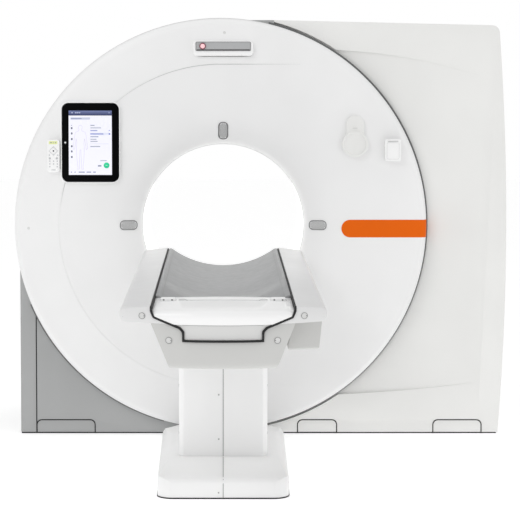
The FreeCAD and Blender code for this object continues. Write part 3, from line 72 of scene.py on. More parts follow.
def add_node(tree: bpy.types.NodeTree, kind: str, links: dict[int | str, object] | None = None,
             **settings: object) -> bpy.types.Node:
    """Adds one node with its settings and links.

    Args:
        tree: The material's or the modifier's tree.
        kind: Type name of the node.
        links: A value or an output socket for each input, by the input's name or number.
        **settings: Properties of the node.

    Returns:
        The new node.
    """
    made = tree.nodes.new(kind)
    for name, value in settings.items():
        setattr(made, name, value)
    for place, value in (links or {}).items():
        if isinstance(value, bpy.types.NodeSocket):
            tree.links.new(value, made.inputs[place])
        else:
            made.inputs[place].default_value = value
    return made


# ---------------------------------------------------------------- finishes


@dataclass(frozen=True)
class Finish:
    """A real material with the process that made its surface.

    The grain is the smallest relief that the surface shows, and the mottle a slow change of shade.
    """

    name: str
    colour: str
    roughness: float
    metallic: float = 0.0
    grain_mm: float = 2.0
    grain_depth_mm: float = 0.0
    grain_stretch: Point = (1.0, 1.0, 1.0)
    mottle_mm: float = 400.0
    mottle: float = 0.03
    wear: float = 0.05
    coat: float = 0.0
    index: float = 1.5
    glow: float = 0.0

    def build(self) -> bpy.types.Material:
        """Makes the material, once.

        Returns:
            The material, with its pattern in real millimetres.
        """
        known = bpy.data.materials.get(self.name)
        if known:
            return known
        material = bpy.data.materials.new(self.name)
        material.use_nodes = True
        tree = material.node_tree
        tree.nodes.clear()
        shader = add_node(tree, "ShaderNodeBsdfPrincipled", {
            "Metallic": self.metallic, "Roughness": self.roughness,
            "Coat Weight": self.coat, "IOR": self.index})
        add_node(tree, "ShaderNodeOutputMaterial", {"Surface": shader.outputs["BSDF"]})
        place = add_node(tree, "ShaderNodeTexCoord").outputs["Object"]
        tint = self.tint(tree, place)
        tree.links.new(tint, shader.inputs["Base Color"])
        tree.links.new(self.polish(tree, place), shader.inputs["Roughness"])
        if self.grain_depth_mm > 0:
            bump = add_node(tree, "ShaderNodeBump", {
                "Strength": 1.0, "Distance": self.grain_depth_mm * MM, "Height": self.relief(tree, place)})
            tree.links.new(bump.outputs["Normal"], shader.inputs["Normal"])
        if self.glow > 0:
            shader.inputs["Emission Color"].default_value = linear(self.colour)
            shader.inputs["Emission Strength"].default_value = self.glow
        return material

    def noise(self, tree: bpy.types.NodeTree, place: bpy.types.NodeSocket, size_mm: float,
              stretch: Point = (1.0, 1.0, 1.0), detail: float = 2.0) -> bpy.types.NodeSocket:
        """A soft random pattern whose blotches are size_mm across.

        Args:
            tree: The material's tree.
            place: Coordinates in metres.
            size_mm: Width of a blotch.
            stretch: How many times longer a blotch is along each axis.
            detail: Octaves of finer pattern.

        Returns:
            The pattern, from 0 to 1.
        """
        scaled = add_node(tree, "ShaderNodeMapping", {
            "Vector": place, "Scale": tuple(1 / (size_mm * MM * part) for part in stretch)})
        return add_node(tree, "ShaderNodeTexNoise", {
            "Vector": scaled.outputs["Vector"], "Scale": 1.0, "Detail": detail}).outputs["Fac"]

    def tint(self, tree: bpy.types.NodeTree, place: bpy.types.NodeSocket) -> bpy.types.NodeSocket:
        """The colour, a little lighter and darker from place to place.

        Args:
            tree: The material's tree.
            place: Coordinates in metres.

        Returns:
            The colour.
        """
        base = Vector(linear(self.colour)[:3])
        ramp = add_node(tree, "ShaderNodeValToRGB", {"Fac": self.noise(tree, place, self.mottle_mm)})
        shades = (1 - self.mottle, 1 + self.mottle / 2)
        for stop, position, share in zip(ramp.color_ramp.elements, NOISE_SPAN, shades):
            stop.position = position
            stop.color = (*(base * share), 1)
        return ramp.outputs["Color"]

    def polish(self, tree: bpy.types.NodeTree, place: bpy.types.NodeSocket) -> bpy.types.NodeSocket:
        """The roughness, with the duller patches that wiping and hands leave.

        Args:
            tree: The material's tree.
            place: Coordinates in metres.

        Returns:
            The roughness.
        """
        return add_node(tree, "ShaderNodeMapRange", {
            "Value": self.noise(tree, place, self.mottle_mm / 6, detail=4.0),
            "From Min": NOISE_SPAN[0], "From Max": NOISE_SPAN[1],
            "To Min": self.roughness - self.wear, "To Max": self.roughness + self.wear}).outputs["Result"]

    def relief(self, tree: bpy.types.NodeTree, place: bpy.types.NodeSocket) -> bpy.types.NodeSocket:
        """The height of the grain."""
        return self.noise(tree, place, self.grain_mm, self.grain_stretch, detail=1.0)


@dataclass(frozen=True)
class Twill(Finish):
    """A fibre laminate whose cloth prints through its clear top coat."""

    tow_mm: float = 4.0

    def relief(self, tree: bpy.types.NodeTree, place: bpy.types.NodeSocket) -> bpy.types.NodeSocket:
        """The height of the tows, laid crosswise.

        Args:
            tree: The material's tree.
            place: Coordinates in metres.

        Returns:
            The height, from 0 to 1.
        """
        waves = [add_node(tree, "ShaderNodeTexWave", {
            "Vector": place, "Scale": 1 / (self.tow_mm * MM) / math.pi, "Distortion": 0.4, "Detail": 1.0},
            wave_type="BANDS", bands_direction=side).outputs["Fac"] for side in ("X", "Y")]
        return add_node(tree, "ShaderNodeMath", {0: waves[0], 1: waves[1]}, operation="MULTIPLY").outputs[0]


@dataclass(frozen=True)
class Turned(Finish):
    """Metal from a lathe, with fine rings round the bore axis."""

    ring_mm: float = 1.5
    bore_height_mm: float = 918.0

    def relief(self, tree: bpy.types.NodeTree, place: bpy.types.NodeSocket) -> bpy.types.NodeSocket:
        """The height of the tool marks.

        Args:
            tree: The material's tree.
            place: Coordinates in metres.

        Returns:
            The height, from 0 to 1.
        """
        centred = add_node(tree, "ShaderNodeMapping", {
            "Vector": place, "Location": (0, 0, -self.bore_height_mm * MM)})
        return add_node(tree, "ShaderNodeTexWave", {
            "Vector": centred.outputs["Vector"], "Scale": 1 / (self.ring_mm * MM) / math.pi,
            "Distortion": 0.2}, wave_type="RINGS", rings_direction="Y").outputs["Fac"]


@dataclass(frozen=True)
class ShadedBelowLine(Finish):
    """A moulding whose colour is painted a darker grey below a line, as painted shade."""

    shade_colour: str = "DADAD9"
    line_mm: float = 773.0

    def tint(self, tree: bpy.types.NodeTree, place: bpy.types.NodeSocket) -> bpy.types.NodeSocket:
        """The upper colour, or the painted shade colour under the line.

        Args:
            tree: The material's tree.
            place: Coordinates in metres.

        Returns:
            The colour.
        """
        height = add_node(tree, "ShaderNodeSeparateXYZ", {"Vector": place}).outputs["Z"]
        above = add_node(tree, "ShaderNodeMath", {0: height, 1: self.line_mm * MM}, operation="GREATER_THAN")
        return add_node(tree, "ShaderNodeMix", {
            "Factor": above.outputs[0], 6: linear(self.shade_colour), 7: super().tint(tree, place)},
            data_type="RGBA").outputs[2]


@dataclass(frozen=True)
class Lit(Finish):
    """A lit picture behind glass, whose faces shine in the colours of their ink attribute."""

    shine: float = 0.15

    def tint(self, tree: bpy.types.NodeTree, place: bpy.types.NodeSocket) -> bpy.types.NodeSocket:
        """The face's own colour."""
        return add_node(tree, "ShaderNodeAttribute", attribute_name="ink").outputs["Color"]

    def build(self) -> bpy.types.Material:
        """Makes the material, once.

        Returns:
            The material.
        """
        material = super().build()
        shader = next(node for node in material.node_tree.nodes if node.type == "BSDF_PRINCIPLED")
        ink = next(node for node in material.node_tree.nodes if node.type == "ATTRIBUTE")
        material.node_tree.links.new(ink.outputs["Color"], shader.inputs["Emission Color"])
        shader.inputs["Emission Strength"].default_value = self.shine
        return material


# Covers: self-skinned polyurethane mouldings, filled and sprayed; the spray leaves a faint orange peel.
COVER_WHITE = Finish("PU_moulding_sprayed_white", "F3F3F3", 0.42, grain_mm=3.0, grain_depth_mm=0.05)
# Right-hand covers, their foot caps and the round holder: the same moulding with a satin spray, its colour
# painted slightly greyer than the disc's as painted shade.
COVER_SHADED_WHITE = Finish("PU_moulding_sprayed_satin_painted_shade", "EEEEEC", 0.48, grain_mm=3.0, grain_depth_mm=0.06)
# Small fittings: injection-moulded polycarbonate, brighter and glossier than the covers.
FITTING_WHITE = Finish("PC_moulded_gloss_white", "FBFBFB", 0.28, mottle=0.01, wear=0.04, coat=0.15)
# Liner of the bore: a frosted acrylic tube with a painted glow, so that it reads bright with no lamp behind
# it.
BORE_GLOW_WHITE = Finish("acrylic_tube_frosted_painted_glow", "F6F6F5", 0.4, mottle=0.01, glow=0.45)
# Left-hand covers and roof: the same sprayed moulding in mid grey.
COVER_GREY = Finish("PU_moulding_sprayed_grey", "A9AAAA", 0.45, grain_mm=3.0, grain_depth_mm=0.05)
# Wings of the table: the same moulding, sprayed a shade greyer.
WING_WHITE = Finish("PU_moulding_sprayed_pale_grey", "E3E3E3", 0.42, grain_mm=3.0, grain_depth_mm=0.05)
# Housing and box of the table: textured thermoformed ABS, a shade warmer and duller than the covers.
ABS_WARM = Finish("ABS_thermoformed_warm_grey", "CFCFCD", 0.52, grain_mm=2.2, grain_depth_mm=0.12)
# Bed: fibre sandwich with its twill showing faintly through a grey gel coat.
BED_LAMINATE = Twill("glass_fibre_laminate_grey_gelcoat", "98999A", 0.46, grain_depth_mm=0.06, coat=0.15,
                     mottle_mm=180.0, mottle=0.04)
# Seams and edge gaskets: extruded rubber, dull and slightly dusty. The same black strip along the floor
# paints the shadow line under the gantry's covers and the foot.
RUBBER_AND_FLOOR_SHADOW = Finish("EPDM_rubber_black_and_painted_floor_shadow", "1B1B1C", 0.68, grain_mm=1.5, grain_depth_mm=0.08, mottle=0.12)
# Seam round the disc: extruded rubber, laid in mid grey only on the spans where the gap round the rim is in
# shade, so it is partly painted gap shadow.
SEAM_GAP_SHADE_GREY = Finish("EPDM_rubber_seam_and_painted_gap_shadow", "666768", 0.6, grain_mm=1.5, grain_depth_mm=0.06,
                   mottle=0.08)
# Fine joints in the pale covers: extruded pale rubber. The same grey paints shadow lines under the display
# and the end cap's face, along the wings' sides and the bed's folds, and in the pocket's slot.
SEAM_MID_AND_SHADE_LINES = Finish("EPDM_pale_grey_joints_and_painted_shade_lines", "8D8E8D", 0.6, grain_mm=1.5, grain_depth_mm=0.05,
                  mottle=0.06)
# Soft pale grey lines that paint the shade along the crease, at the bore's mouth, round the pocket and round
# the end cap's grip and lugs; on the rear cover the same grey marks ring joints.
PALE_SHADE_LINE_GREY = Finish("pale_grey_painted_shade_lines_and_joints", "C4C5C5", 0.55, mottle=0.04)
# Plugs and trims: moulded polypropylene, close to the covers' white.
SEAM_PALE = Finish("PP_moulded_pale_grey_trim", "DADAD9", 0.5, grain_mm=1.0, grain_depth_mm=0.03)
# End cap of the bed: gloss white, with painted shade in light grey below its joint.
CAP_SHADED_BELOW = ShadedBelowLine("PC_moulded_gloss_white_painted_shade_below", "FBFBFB", 0.3, mottle=0.01, wear=0.005,
                       coat=0.1)
# Laser and status windows: tinted acrylic with polished edges.
ACRYLIC_GREY = Finish("acrylic_cast_grey_tint", "A9A9A7", 0.12, mottle=0.02, wear=0.03, coat=0.4)
# Borders of the windows: moulded dark grey trim. The same dark grey paints the shade inside the air slots,
# the grip hollows, the screw sockets and the pry notches.
DARK_TRIM_AND_HOLLOW_SHADE = Finish("ABS_dark_grey_trim_and_painted_hollow_shade", "6B6B6C", 0.4, grain_mm=1.2, grain_depth_mm=0.04)
# Ribs behind the laser windows: the same acrylic, unpolished.
WINDOW_RIB = Finish("acrylic_cast_grey_rib", "8F9090", 0.25, mottle=0.02, wear=0.03)
# Status display: polycarbonate with a printed back.
STATUS_GLASS = Finish("polycarbonate_printed_status_window", "B3B4B5", 0.16, mottle=0.05, wear=0.03,
                      coat=0.5)
# Lamp: a diffusing lens that is lit from behind, in a moulded ring.
LAMP_RED = Finish("polycarbonate_lens_lit_pink", "F3C3C8", 0.2, mottle=0.05, wear=0.03, coat=0.5, glow=0.3)
LAMP_RING = Finish("polycarbonate_moulded_red_ring", "7E3245", 0.25, mottle=0.05, wear=0.03, coat=0.4)
# Tablet: black moulded bezel under bonded, polished glass.
BEZEL_BLACK = Finish("PC_ABS_moulded_black_bezel", "060607", 0.3, mottle=0.1, wear=0.04, index=1.12)
# Keys and pads: silicone rubber, silky.
KEY_GREY = Finish("silicone_moulded_grey_key", "A3A6A9", 0.55, grain_mm=0.8, grain_depth_mm=0.03)
KEY_PALE = Finish("silicone_moulded_pale_key", "C6C8CA", 0.55, grain_mm=0.8, grain_depth_mm=0.03)
KEY_DARK = Finish("silicone_moulded_dark_key", "3C3F45", 0.55, grain_mm=0.8, grain_depth_mm=0.03)
# Small displays: lit liquid crystal behind glass; the tablet's picture takes its colours from its drawing.
LCD_GREEN = Finish("LCD_glass_lit_yellow_green", "E2E9A4", 0.2, mottle=0.04, wear=0.03, coat=0.3, glow=0.1)
SCREEN_INK = Lit("LCD_picture_lit", "FFFFFF", 0.25, wear=0.03, coat=0.3)
# Band: cast vinyl film laid over the sprayed cover, smooth with a soft gloss.
FOIL_ORANGE = Finish("vinyl_film_cast_orange", "E9660B", 0.42, grain_mm=5.0, grain_depth_mm=0.02, index=1.2)
# Frames: mild steel under a textured powder coat.
POWDER_GREY = Finish("mild_steel_powder_coated_grey", "6F7376", 0.5, grain_mm=1.6, grain_depth_mm=0.1)
# Rings, rails and shafts: ground or turned steel with fine tool marks.
TURNED_STEEL = Turned("bearing_steel_turned", "B9BABD", 0.28, metallic=1.0, grain_depth_mm=0.02, mottle=0.05)
GROUND_STEEL = Finish("steel_ground_bright", "B4B6B9", 0.25, metallic=1.0, grain_mm=0.8,
                      grain_depth_mm=0.01, grain_stretch=(1.0, 60.0, 1.0))
# Drum, collimator and carriage: sand castings, blasted.
CAST_ALUMINIUM = Finish("aluminium_sand_cast_blasted", "A6A8AA", 0.5, metallic=1.0, grain_mm=1.4,
                        grain_depth_mm=0.15, mottle=0.08)
# Units inside: sheet-steel boxes in stove enamel.
ENAMEL_WHITE = Finish("sheet_steel_stove_enamel_cream", "D9D6CB", 0.35, grain_mm=4.0, grain_depth_mm=0.04)
ENAMEL_BLUE = Finish("sheet_steel_stove_enamel_blue_grey", "5D7183", 0.35, grain_mm=4.0, grain_depth_mm=0.04)
# Slip ring: brass tracks, turned, on which the brushes run.
BRASS = Turned("brass_turned_contact", "C49A4A", 0.3, metallic=1.0, grain_depth_mm=0.02)
# Brush block and insulators: machined phenolic laminate.
PHENOLIC = Finish("phenolic_laminate_brown", "4B3020", 0.45, grain_mm=1.0, grain_depth_mm=0.05, mottle=0.15)
# Floor of the room: matt pale vinyl.
FLOOR_PALE = Finish("floor_vinyl_pale", "F4F4F4", 0.7, mottle=0.01, glow=0.45)

WORN_BY: dict[Finish, tuple[str, ...]] = {
    COVER_WHITE: (
        "front_disc_cover", "rear_disc_cover", "column_cover_right", "column_cover_left", "foot_cover_right",
        "foot_cover_left",
    ),
    COVER_SHADED_WHITE: ("right_side_cover", "right_foot_caps", "round_holder"),
    FITTING_WHITE: ("display_housing", "tablet_dock", "remote_body", "remote_pad", "pocket_holder"),
    CAP_SHADED_BELOW: ("cradle_end_cap",),
    BORE_GLOW_WHITE: ("bore_liner",),
    WING_WHITE: ("side_wing_right", "side_wing_left"),
    COVER_GREY: ("left_side_cover", "left_front_cover", "roof_cover", "left_foot_cap"),
    ABS_WARM: ("table_housing", "accessory_box"),
    BED_LAMINATE: ("cradle_shell",),
    RUBBER_AND_FLOOR_SHADOW: ("edge_gasket", "drive_belt"),
    ACRYLIC_GREY: ("laser_windows",),
    STATUS_GLASS: ("display_window",),
    LAMP_RED: ("indicator_lamp",),
    BEZEL_BLACK: ("tablet_body", "tablet_screen"),
    KEY_PALE: ("remote_key_left", "remote_key_right"),
    KEY_DARK: ("tablet_home_button",),
    FOIL_ORANGE: ("coloured_band",),
    SEAM_PALE: ("disc_seams", "screw_caps"),
    POWDER_GREY: ("gantry_base_frame", "bearing_plate", "table_floor_plate", "table_chassis", "drive_motor"),
    TURNED_STEEL: ("bearing_outer_ring", "bearing_inner_ring", "motor_pulley"),
    GROUND_STEEL: ("guide_rails", "lift_column_inner", "lift_column_outer"),
    CAST_ALUMINIUM: ("rotor_drum", "collimator", "cradle_carriage", "counterweight"),
    ENAMEL_WHITE: ("power_cabinet", "xray_tube"),
    ENAMEL_BLUE: ("hv_generator", "tube_cooler", "detector_arc"),
    BRASS: ("slip_ring",),
    PHENOLIC: ("brush_block",),
}
FINISH_OF = {node: finish for finish, nodes in WORN_BY.items() for node in nodes}


# ---------------------------------------------------------------- meshes


class Body(Enum):
    """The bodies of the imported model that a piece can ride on."""

    STAND = "stand"
    ROTOR = "rotor"
    SHROUD = "shroud"
    TABLE = "table"
    CRADLE = "cradle"
    PAD = "pad_button"
    HOME = "home_button"


def shade(mesh: bpy.types.Mesh, angle: float = 30.0) -> None:
    """Smooths a mesh and keeps the edges that turn by more than an angle in degrees.

    Args:
        mesh: The mesh.
        angle: The least turn of an edge that stays sharp.
    """
    shaped = bmesh.new()
    shaped.from_mesh(mesh)
    for face in shaped.faces:
        face.smooth = True
    for edge in shaped.edges:
        edge.smooth = len(edge.link_faces) == 2 and edge.calc_face_angle(0) < math.radians(angle)
    shaped.to_mesh(mesh)
    shaped.free()


def settle(name: str, mesh: bpy.types.Mesh, finish: Finish, body: Body = Body.STAND) -> bpy.types.Object:
    """Makes a piece of the object from a mesh that is already in its place.

    Args:
        name: The piece's name.
        mesh: Its mesh, in metres in the shared frame.
        finish: What it is made of.
        body: What it moves with.

    Returns:
        The new object, at the origin.
    """
    mesh.materials.clear()
    mesh.materials.append(finish.build())
    piece = bpy.data.objects.new(name, mesh)
    bpy.context.scene.collection.objects.link(piece)
    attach(piece, body.value)
    log.info("piece %s: %d faces", name, len(mesh.polygons))
    return piece


def applied(source: bpy.types.Object) -> bpy.types.Mesh:
    """The mesh of an object with its modifiers worked in.

    Args:
        source: The object; it is removed.

    Returns:
        The finished mesh.
    """
    bpy.context.view_layer.update()
    graph = bpy.context.evaluated_depsgraph_get()
    mesh = bpy.data.meshes.new_from_object(source.evaluated_get(graph))
    bpy.data.objects.remove(source)
    return mesh


def eased(node: str, width_mm: float, angle: float = 28.0) -> bpy.types.Mesh:
    """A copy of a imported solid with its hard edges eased, as a moulding's or a casting's are.

    Args:
        node: The solid's name.
        width_mm: Width of the easing.
        angle: The least turn of an edge that is eased.

    Returns:
        The new mesh, smooth shaded.
    """
    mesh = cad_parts[node].data.copy()
    joined = bmesh.new()
    joined.from_mesh(mesh)
    bmesh.ops.remove_doubles(joined, verts=joined.verts, dist=1e-5)
    bmesh.ops.dissolve_limit(joined, angle_limit=math.radians(0.6), verts=joined.verts, edges=joined.edges)
    joined.to_mesh(mesh)
    joined.free()
    draft = bpy.data.objects.new("draft", mesh)
    bpy.context.scene.collection.objects.link(draft)
    easing = draft.modifiers.new("easing", "BEVEL")
    easing.width = width_mm * MM
    easing.segments = 2
    easing.limit_method = "ANGLE"
    easing.angle_limit = math.radians(angle)
    easing.use_clamp_overlap = True
    easing.harden_normals = False
    finished = applied(draft)
    shade(finished, 40.0)
    return finished


# ---------------------------------------------------------------- geometry node recipes


class Recipe:
    """A Geometry Nodes tree with named inputs; it is run on a start mesh and then thrown away."""

    def __init__(self, name: str) -> None:
        """Starts an empty tree.

        Args:
            name: The tree's name.
        """
        self.tree = bpy.data.node_groups.new(name, "GeometryNodeTree")
        self.tree.interface.new_socket("Start", in_out="INPUT", socket_type="NodeSocketGeometry")
        self.tree.interface.new_socket("Result", in_out="OUTPUT", socket_type="NodeSocketGeometry")
        self.given = self.tree.nodes.new("NodeGroupInput")
        self.result = self.tree.nodes.new("NodeGroupOutput")
        self.values: dict[str, object] = {}

    @property
    def start(self) -> bpy.types.NodeSocket:
        """The start mesh's geometry."""
        return self.given.outputs["Start"]

    def size(self, name: str, value: object, kind: str = "Float") -> bpy.types.NodeSocket:
        """Adds a named input.

        Args:
            name: What it is.
            value: What the modifier sets it to.
            kind: Float, Int, Vector, Object or Material.

        Returns:
            The socket to link from.
        """
        made = self.tree.interface.new_socket(name, in_out="INPUT", socket_type=f"NodeSocket{kind}")
        self.values[made.identifier] = value
        return self.given.outputs[name]

    def add(self, kind: str, links: dict[int | str, object] | None = None,
            **settings: object) -> bpy.types.Node:
        """Adds a node to the tree, as add_node does."""
        return add_node(self.tree, kind, links, **settings)

    def sum(self, operation: str, *terms: object) -> bpy.types.NodeSocket:
        """One step of arithmetic on numbers or sockets."""
        return self.add("ShaderNodeMath", dict(enumerate(terms)), operation=operation).outputs[0]

    def run(self, start: bpy.types.Mesh, shape: bpy.types.NodeSocket, finish: Finish) -> bpy.types.Mesh:
        """Ends the tree, runs it on a mesh and throws it away.

        Args:
            start: The mesh that the tree starts from.
            shape: The geometry that the tree has made.
            finish: What the result is made of.

        Returns:
            The finished mesh.
        """
        real = self.add("GeometryNodeRealizeInstances", {"Geometry": shape})
        worn = self.add("GeometryNodeSetMaterial", {
            "Geometry": real.outputs["Geometry"],
            "Material": self.size("Finish", finish.build(), "Material")})
        self.tree.links.new(worn.outputs["Geometry"], self.result.inputs["Result"])
        draft = bpy.data.objects.new("draft", start)
        bpy.context.scene.collection.objects.link(draft)
        modifier = draft.modifiers.new("recipe", "NODES")
        modifier.node_group = self.tree
        for identifier, value in self.values.items():
            modifier[identifier] = value
        mesh = applied(draft)
        bpy.data.node_groups.remove(self.tree)
        return mesh


def wire(name: str, runs: list[list[Point]], closed: bool = False) -> bpy.types.Mesh:
    """A mesh of edges alone, as the path of a bead.

    Args:
        name: The mesh's name.
        runs: Lists of points in metres.
        closed: Whether each run ends where it starts.

    Returns:
        The mesh.
    """
    mesh = bpy.data.meshes.new(name)
    points: list[Point] = []
    edges: list[tuple[int, int]] = []
    for run in runs:
        first = len(points)
        points += run
        edges += [(first + at, first + at + 1) for at in range(len(run) - 1)]
        if closed:
            edges.append((len(points) - 1, first))
    mesh.from_pydata(points, edges, [])
    return mesh


def solid_normals(mesh: bpy.types.Mesh, angle: float = 40.0) -> bpy.types.Mesh:
    """Merges doubles, turns the faces outwards and smooths.

    Args:
        mesh: A closed shell or several.
        angle: The least turn of an edge that stays sharp.

    Returns:
        The same mesh.
    """
    shell = bmesh.new()
    shell.from_mesh(mesh)
    bmesh.ops.remove_doubles(shell, verts=shell.verts, dist=1e-6)
    bmesh.ops.recalc_face_normals(shell, faces=shell.faces)
    shell.to_mesh(mesh)
    shell.free()
    shade(mesh, angle)
    return mesh


@dataclass
class Bead:
    """A rubber or painted line that follows a path, round or flat in section.

    The ends are the shares of its length over which it thins out at its start and its end.
    """

    name: str
    runs: list[list[Point]]
    width_mm: float
    finish: Finish = SEAM_MID_AND_SHADE_LINES
    body: Body = Body.STAND
    closed: bool = False
    flat: float = 1.0
    corners: int = 8
    ends: Flat = (0.0, 0.0)

    def build(self) -> bpy.types.Object:
        """Sweeps the section along the path.

        Returns:
            The piece.
        """
        recipe = Recipe(self.name)
        radius = recipe.sum("DIVIDE", recipe.size("Width", self.width_mm * MM), 2.0)
        path = recipe.add("GeometryNodeMeshToCurve", {"Mesh": recipe.start})
        along = recipe.add("GeometryNodeSplineParameter").outputs["Factor"]
        rising = recipe.sum("DIVIDE", along, max(self.ends[0], 1e-4))
        falling = recipe.sum("DIVIDE", recipe.sum("SUBTRACT", 1.0, along), max(self.ends[1], 1e-4))
        share = recipe.sum("MINIMUM", recipe.sum("MINIMUM", rising, falling), 1.0)
        thin = recipe.sum("MAXIMUM", share, 0.1 if any(self.ends) else 1.0)
        ring = recipe.add("GeometryNodeCurvePrimitiveCircle", {
            "Resolution": recipe.size("Sides", self.corners, "Int"), "Radius": radius}, mode="RADIUS")
        squeezed = recipe.add("GeometryNodeTransform", {
            "Geometry": ring.outputs["Curve"],
            "Scale": recipe.size("Section", (1.0, self.flat, 1.0), "Vector")})
        swept = recipe.add("GeometryNodeCurveToMesh", {
            "Curve": path.outputs["Curve"], "Profile Curve": squeezed.outputs["Geometry"], "Scale": thin,
            "Fill Caps": True})
        mesh = recipe.run(wire(self.name, self.runs, self.closed), swept.outputs["Mesh"], self.finish)
        return settle(self.name, solid_normals(mesh), self.finish, self.body)


@dataclass
class Studs:
    """A small part repeated at places: screws, plugs, slats or keys.

    Each faces one direction, or away from a line through a point when that is given.
    """

    name: str
    places: list[Point]
    facing: Point
    pattern: bpy.types.Mesh
    finish: Finish = SEAM_MID_AND_SHADE_LINES
    body: Body = Body.STAND
    axis_at: Point | None = None

    def build(self) -> bpy.types.Object:
        """Puts a copy of the pattern, whose front is its +Z, at each place.

        Returns:
            The piece.
        """
        part = bpy.data.objects.new("pattern", self.pattern)
        recipe = Recipe(self.name)
        facing = recipe.size("Facing", self.facing, "Vector")
        if self.axis_at:
            away = recipe.add("ShaderNodeVectorMath", {
                0: recipe.add("GeometryNodeInputPosition").outputs[0],
                1: recipe.size("Axis", self.axis_at, "Vector")}, operation="SUBTRACT").outputs[0]
            facing = recipe.add("ShaderNodeVectorMath", {0: away, 1: facing},
                                operation="MULTIPLY").outputs[0]
        turned = recipe.add("FunctionNodeAlignRotationToVector", {"Vector": facing}, axis="Z")
        model = recipe.add("GeometryNodeObjectInfo", {
            "Object": recipe.size("Part", part, "Object"), "As Instance": True})
        spots = recipe.add("GeometryNodeMeshToPoints", {"Mesh": recipe.start})
        copies = recipe.add("GeometryNodeInstanceOnPoints", {
            "Points": spots.outputs["Points"], "Instance": model.outputs["Geometry"],
            "Rotation": turned.outputs["Rotation"]})
        start = bpy.data.meshes.new(self.name)
        start.from_pydata(self.places, [], [])
        mesh = recipe.run(start, copies.outputs["Instances"], self.finish)
        bpy.data.objects.remove(part)
        return settle(self.name, solid_normals(mesh), self.finish, self.body)


def lathe(name: str, section: list[Flat], steps: int = 32) -> bpy.types.Mesh:
    """A small turned part about +Z from a section of radius and height, in metres.

    Args:
        name: The mesh's name.
        section: Points from the axis to the axis.
        steps: Faces round it.

    Returns:
        The closed mesh.
    """
    mesh = bpy.data.meshes.new(name)
    shape = bmesh.new()
    rings = [[shape.verts.new((r * math.cos(turn), r * math.sin(turn), z)) for turn in
              (2 * math.pi * step / steps for step in range(steps))] for r, z in section]
    for low, high in zip(rings, rings[1:]):
        for step in range(steps):
            after = (step + 1) % steps
            shape.faces.new((low[step], low[after], high[after], high[step]))
    shape.faces.new(list(reversed(rings[0])))
    shape.faces.new(rings[-1])
    shape.to_mesh(mesh)
    shape.free()
    return solid_normals(mesh)


def head(radii: Frame, heights: Frame, steps: int = 20) -> bpy.types.Mesh:
    """A screw's or a plug's round head with a hollow in its middle, about +Z.

    Args:
        radii: Its rim, its flat top, the hollow's mouth and the hollow's floor, in mm.
        heights: Its underside, its rim, its flat top and the hollow's floor, in mm.
        steps: Faces round it.

    Returns:
        The closed mesh.
    """
    rim, top, mouth, floor = (radius / 1000 for radius in radii)
    under, edge, over, deep = (height / 1000 for height in heights)
    return lathe("head", [(rim, under), (rim, edge), (top, over), (mouth, over), (floor, deep)], steps)


def rounded(left: float, right: float, low: float, high: float, radius: float, steps: int = 6) -> list[Flat]:
    """A rectangle with round corners, counter-clockwise as seen from the front, in mm.

    Args:
        left: Its left side.
        right: Its right side.
        low: Its lower side.
        high: Its upper side.
        radius: The corners' radius.
        steps: Chords in each corner.

    Returns:
        The outline's points as x and z.
    """
    corners = ((right - radius, low + radius, -90), (right - radius, high - radius, 0),
               (left + radius, high - radius, 90), (left + radius, low + radius, 180))
    return [(x + radius * math.cos(math.radians(first + 90 * step / steps)),
             z + radius * math.sin(math.radians(first + 90 * step / steps)))
            for x, z, first in corners for step in range(steps + 1)]


def moulded(name: str, outline: list[Flat], front: float, back: float, edge: float = 0.0) -> bpy.types.Mesh:
    """A plate with a rounded front edge, from its outline in the plane of the gantry, in mm.

    Args:
        name: The mesh's name.
        outline: Points as x and z, counter-clockwise from the front.
        front: Its front face's y.
        back: Its back face's y.
        edge: The radius of the front edge.

    Returns:
        The closed mesh in metres.
    """
    shape = bmesh.new()
    near, far = ([shape.verts.new((x * MM, y * MM, z * MM)) for x, z in outline] for y in (front, back))
    shape.faces.new(near)
    shape.faces.new(list(reversed(far)))
    for at, (first, other) in enumerate(zip(near, far)):
        after = (at + 1) % len(near)
        shape.faces.new((first, other, far[after], near[after]))
    bmesh.ops.recalc_face_normals(shape, faces=shape.faces)
    if edge > 0:
        brim = [side for side in shape.edges if all(point in near for point in side.verts)]
        bmesh.ops.bevel(shape, geom=brim, offset=edge * MM, segments=3, profile=0.5, affect="EDGES",
                        clamp_overlap=True)
    mesh = bpy.data.meshes.new(name)
    shape.to_mesh(mesh)
    shape.free()
    shade(mesh, 35.0)
    return mesh


def slat(name: str, half: Flat, corner: float, thick: Flat, edge: float,
         along_y: bool = False) -> bpy.types.Mesh:
    """A small plate with a rounded front edge that faces +Z, in mm.

    Args:
        name: The mesh's name.
        half: Half its size along X and along Y.
        corner: The radius of its corners.
        thick: How far it reaches in front of its place and behind it.
        edge: The radius of its front edge.
        along_y: Whether it is turned so that its X side lies along Y.

    Returns:
        The closed mesh in metres.
    """
    mesh = moulded(name, rounded(-half[0], half[0], -half[1], half[1], corner), -thick[0], thick[1], edge)
    mesh.transform(Matrix.Rotation(math.radians(-90), 4, "X"))
    if along_y:
        mesh.transform(Matrix.Rotation(math.radians(90), 4, "Z"))
    return mesh


def together(name: str, meshes: list[bpy.types.Mesh]) -> bpy.types.Mesh:
    """Several meshes as one.

    Args:
        name: The new mesh's name.
        meshes: The parts; they are removed.

    Returns:
        The joined mesh.
    """
    joined = bmesh.new()
    for part in meshes:
        joined.from_mesh(part)
        bpy.data.meshes.remove(part)
    mesh = bpy.data.meshes.new(name)
    joined.to_mesh(mesh)
    joined.free()
    return mesh


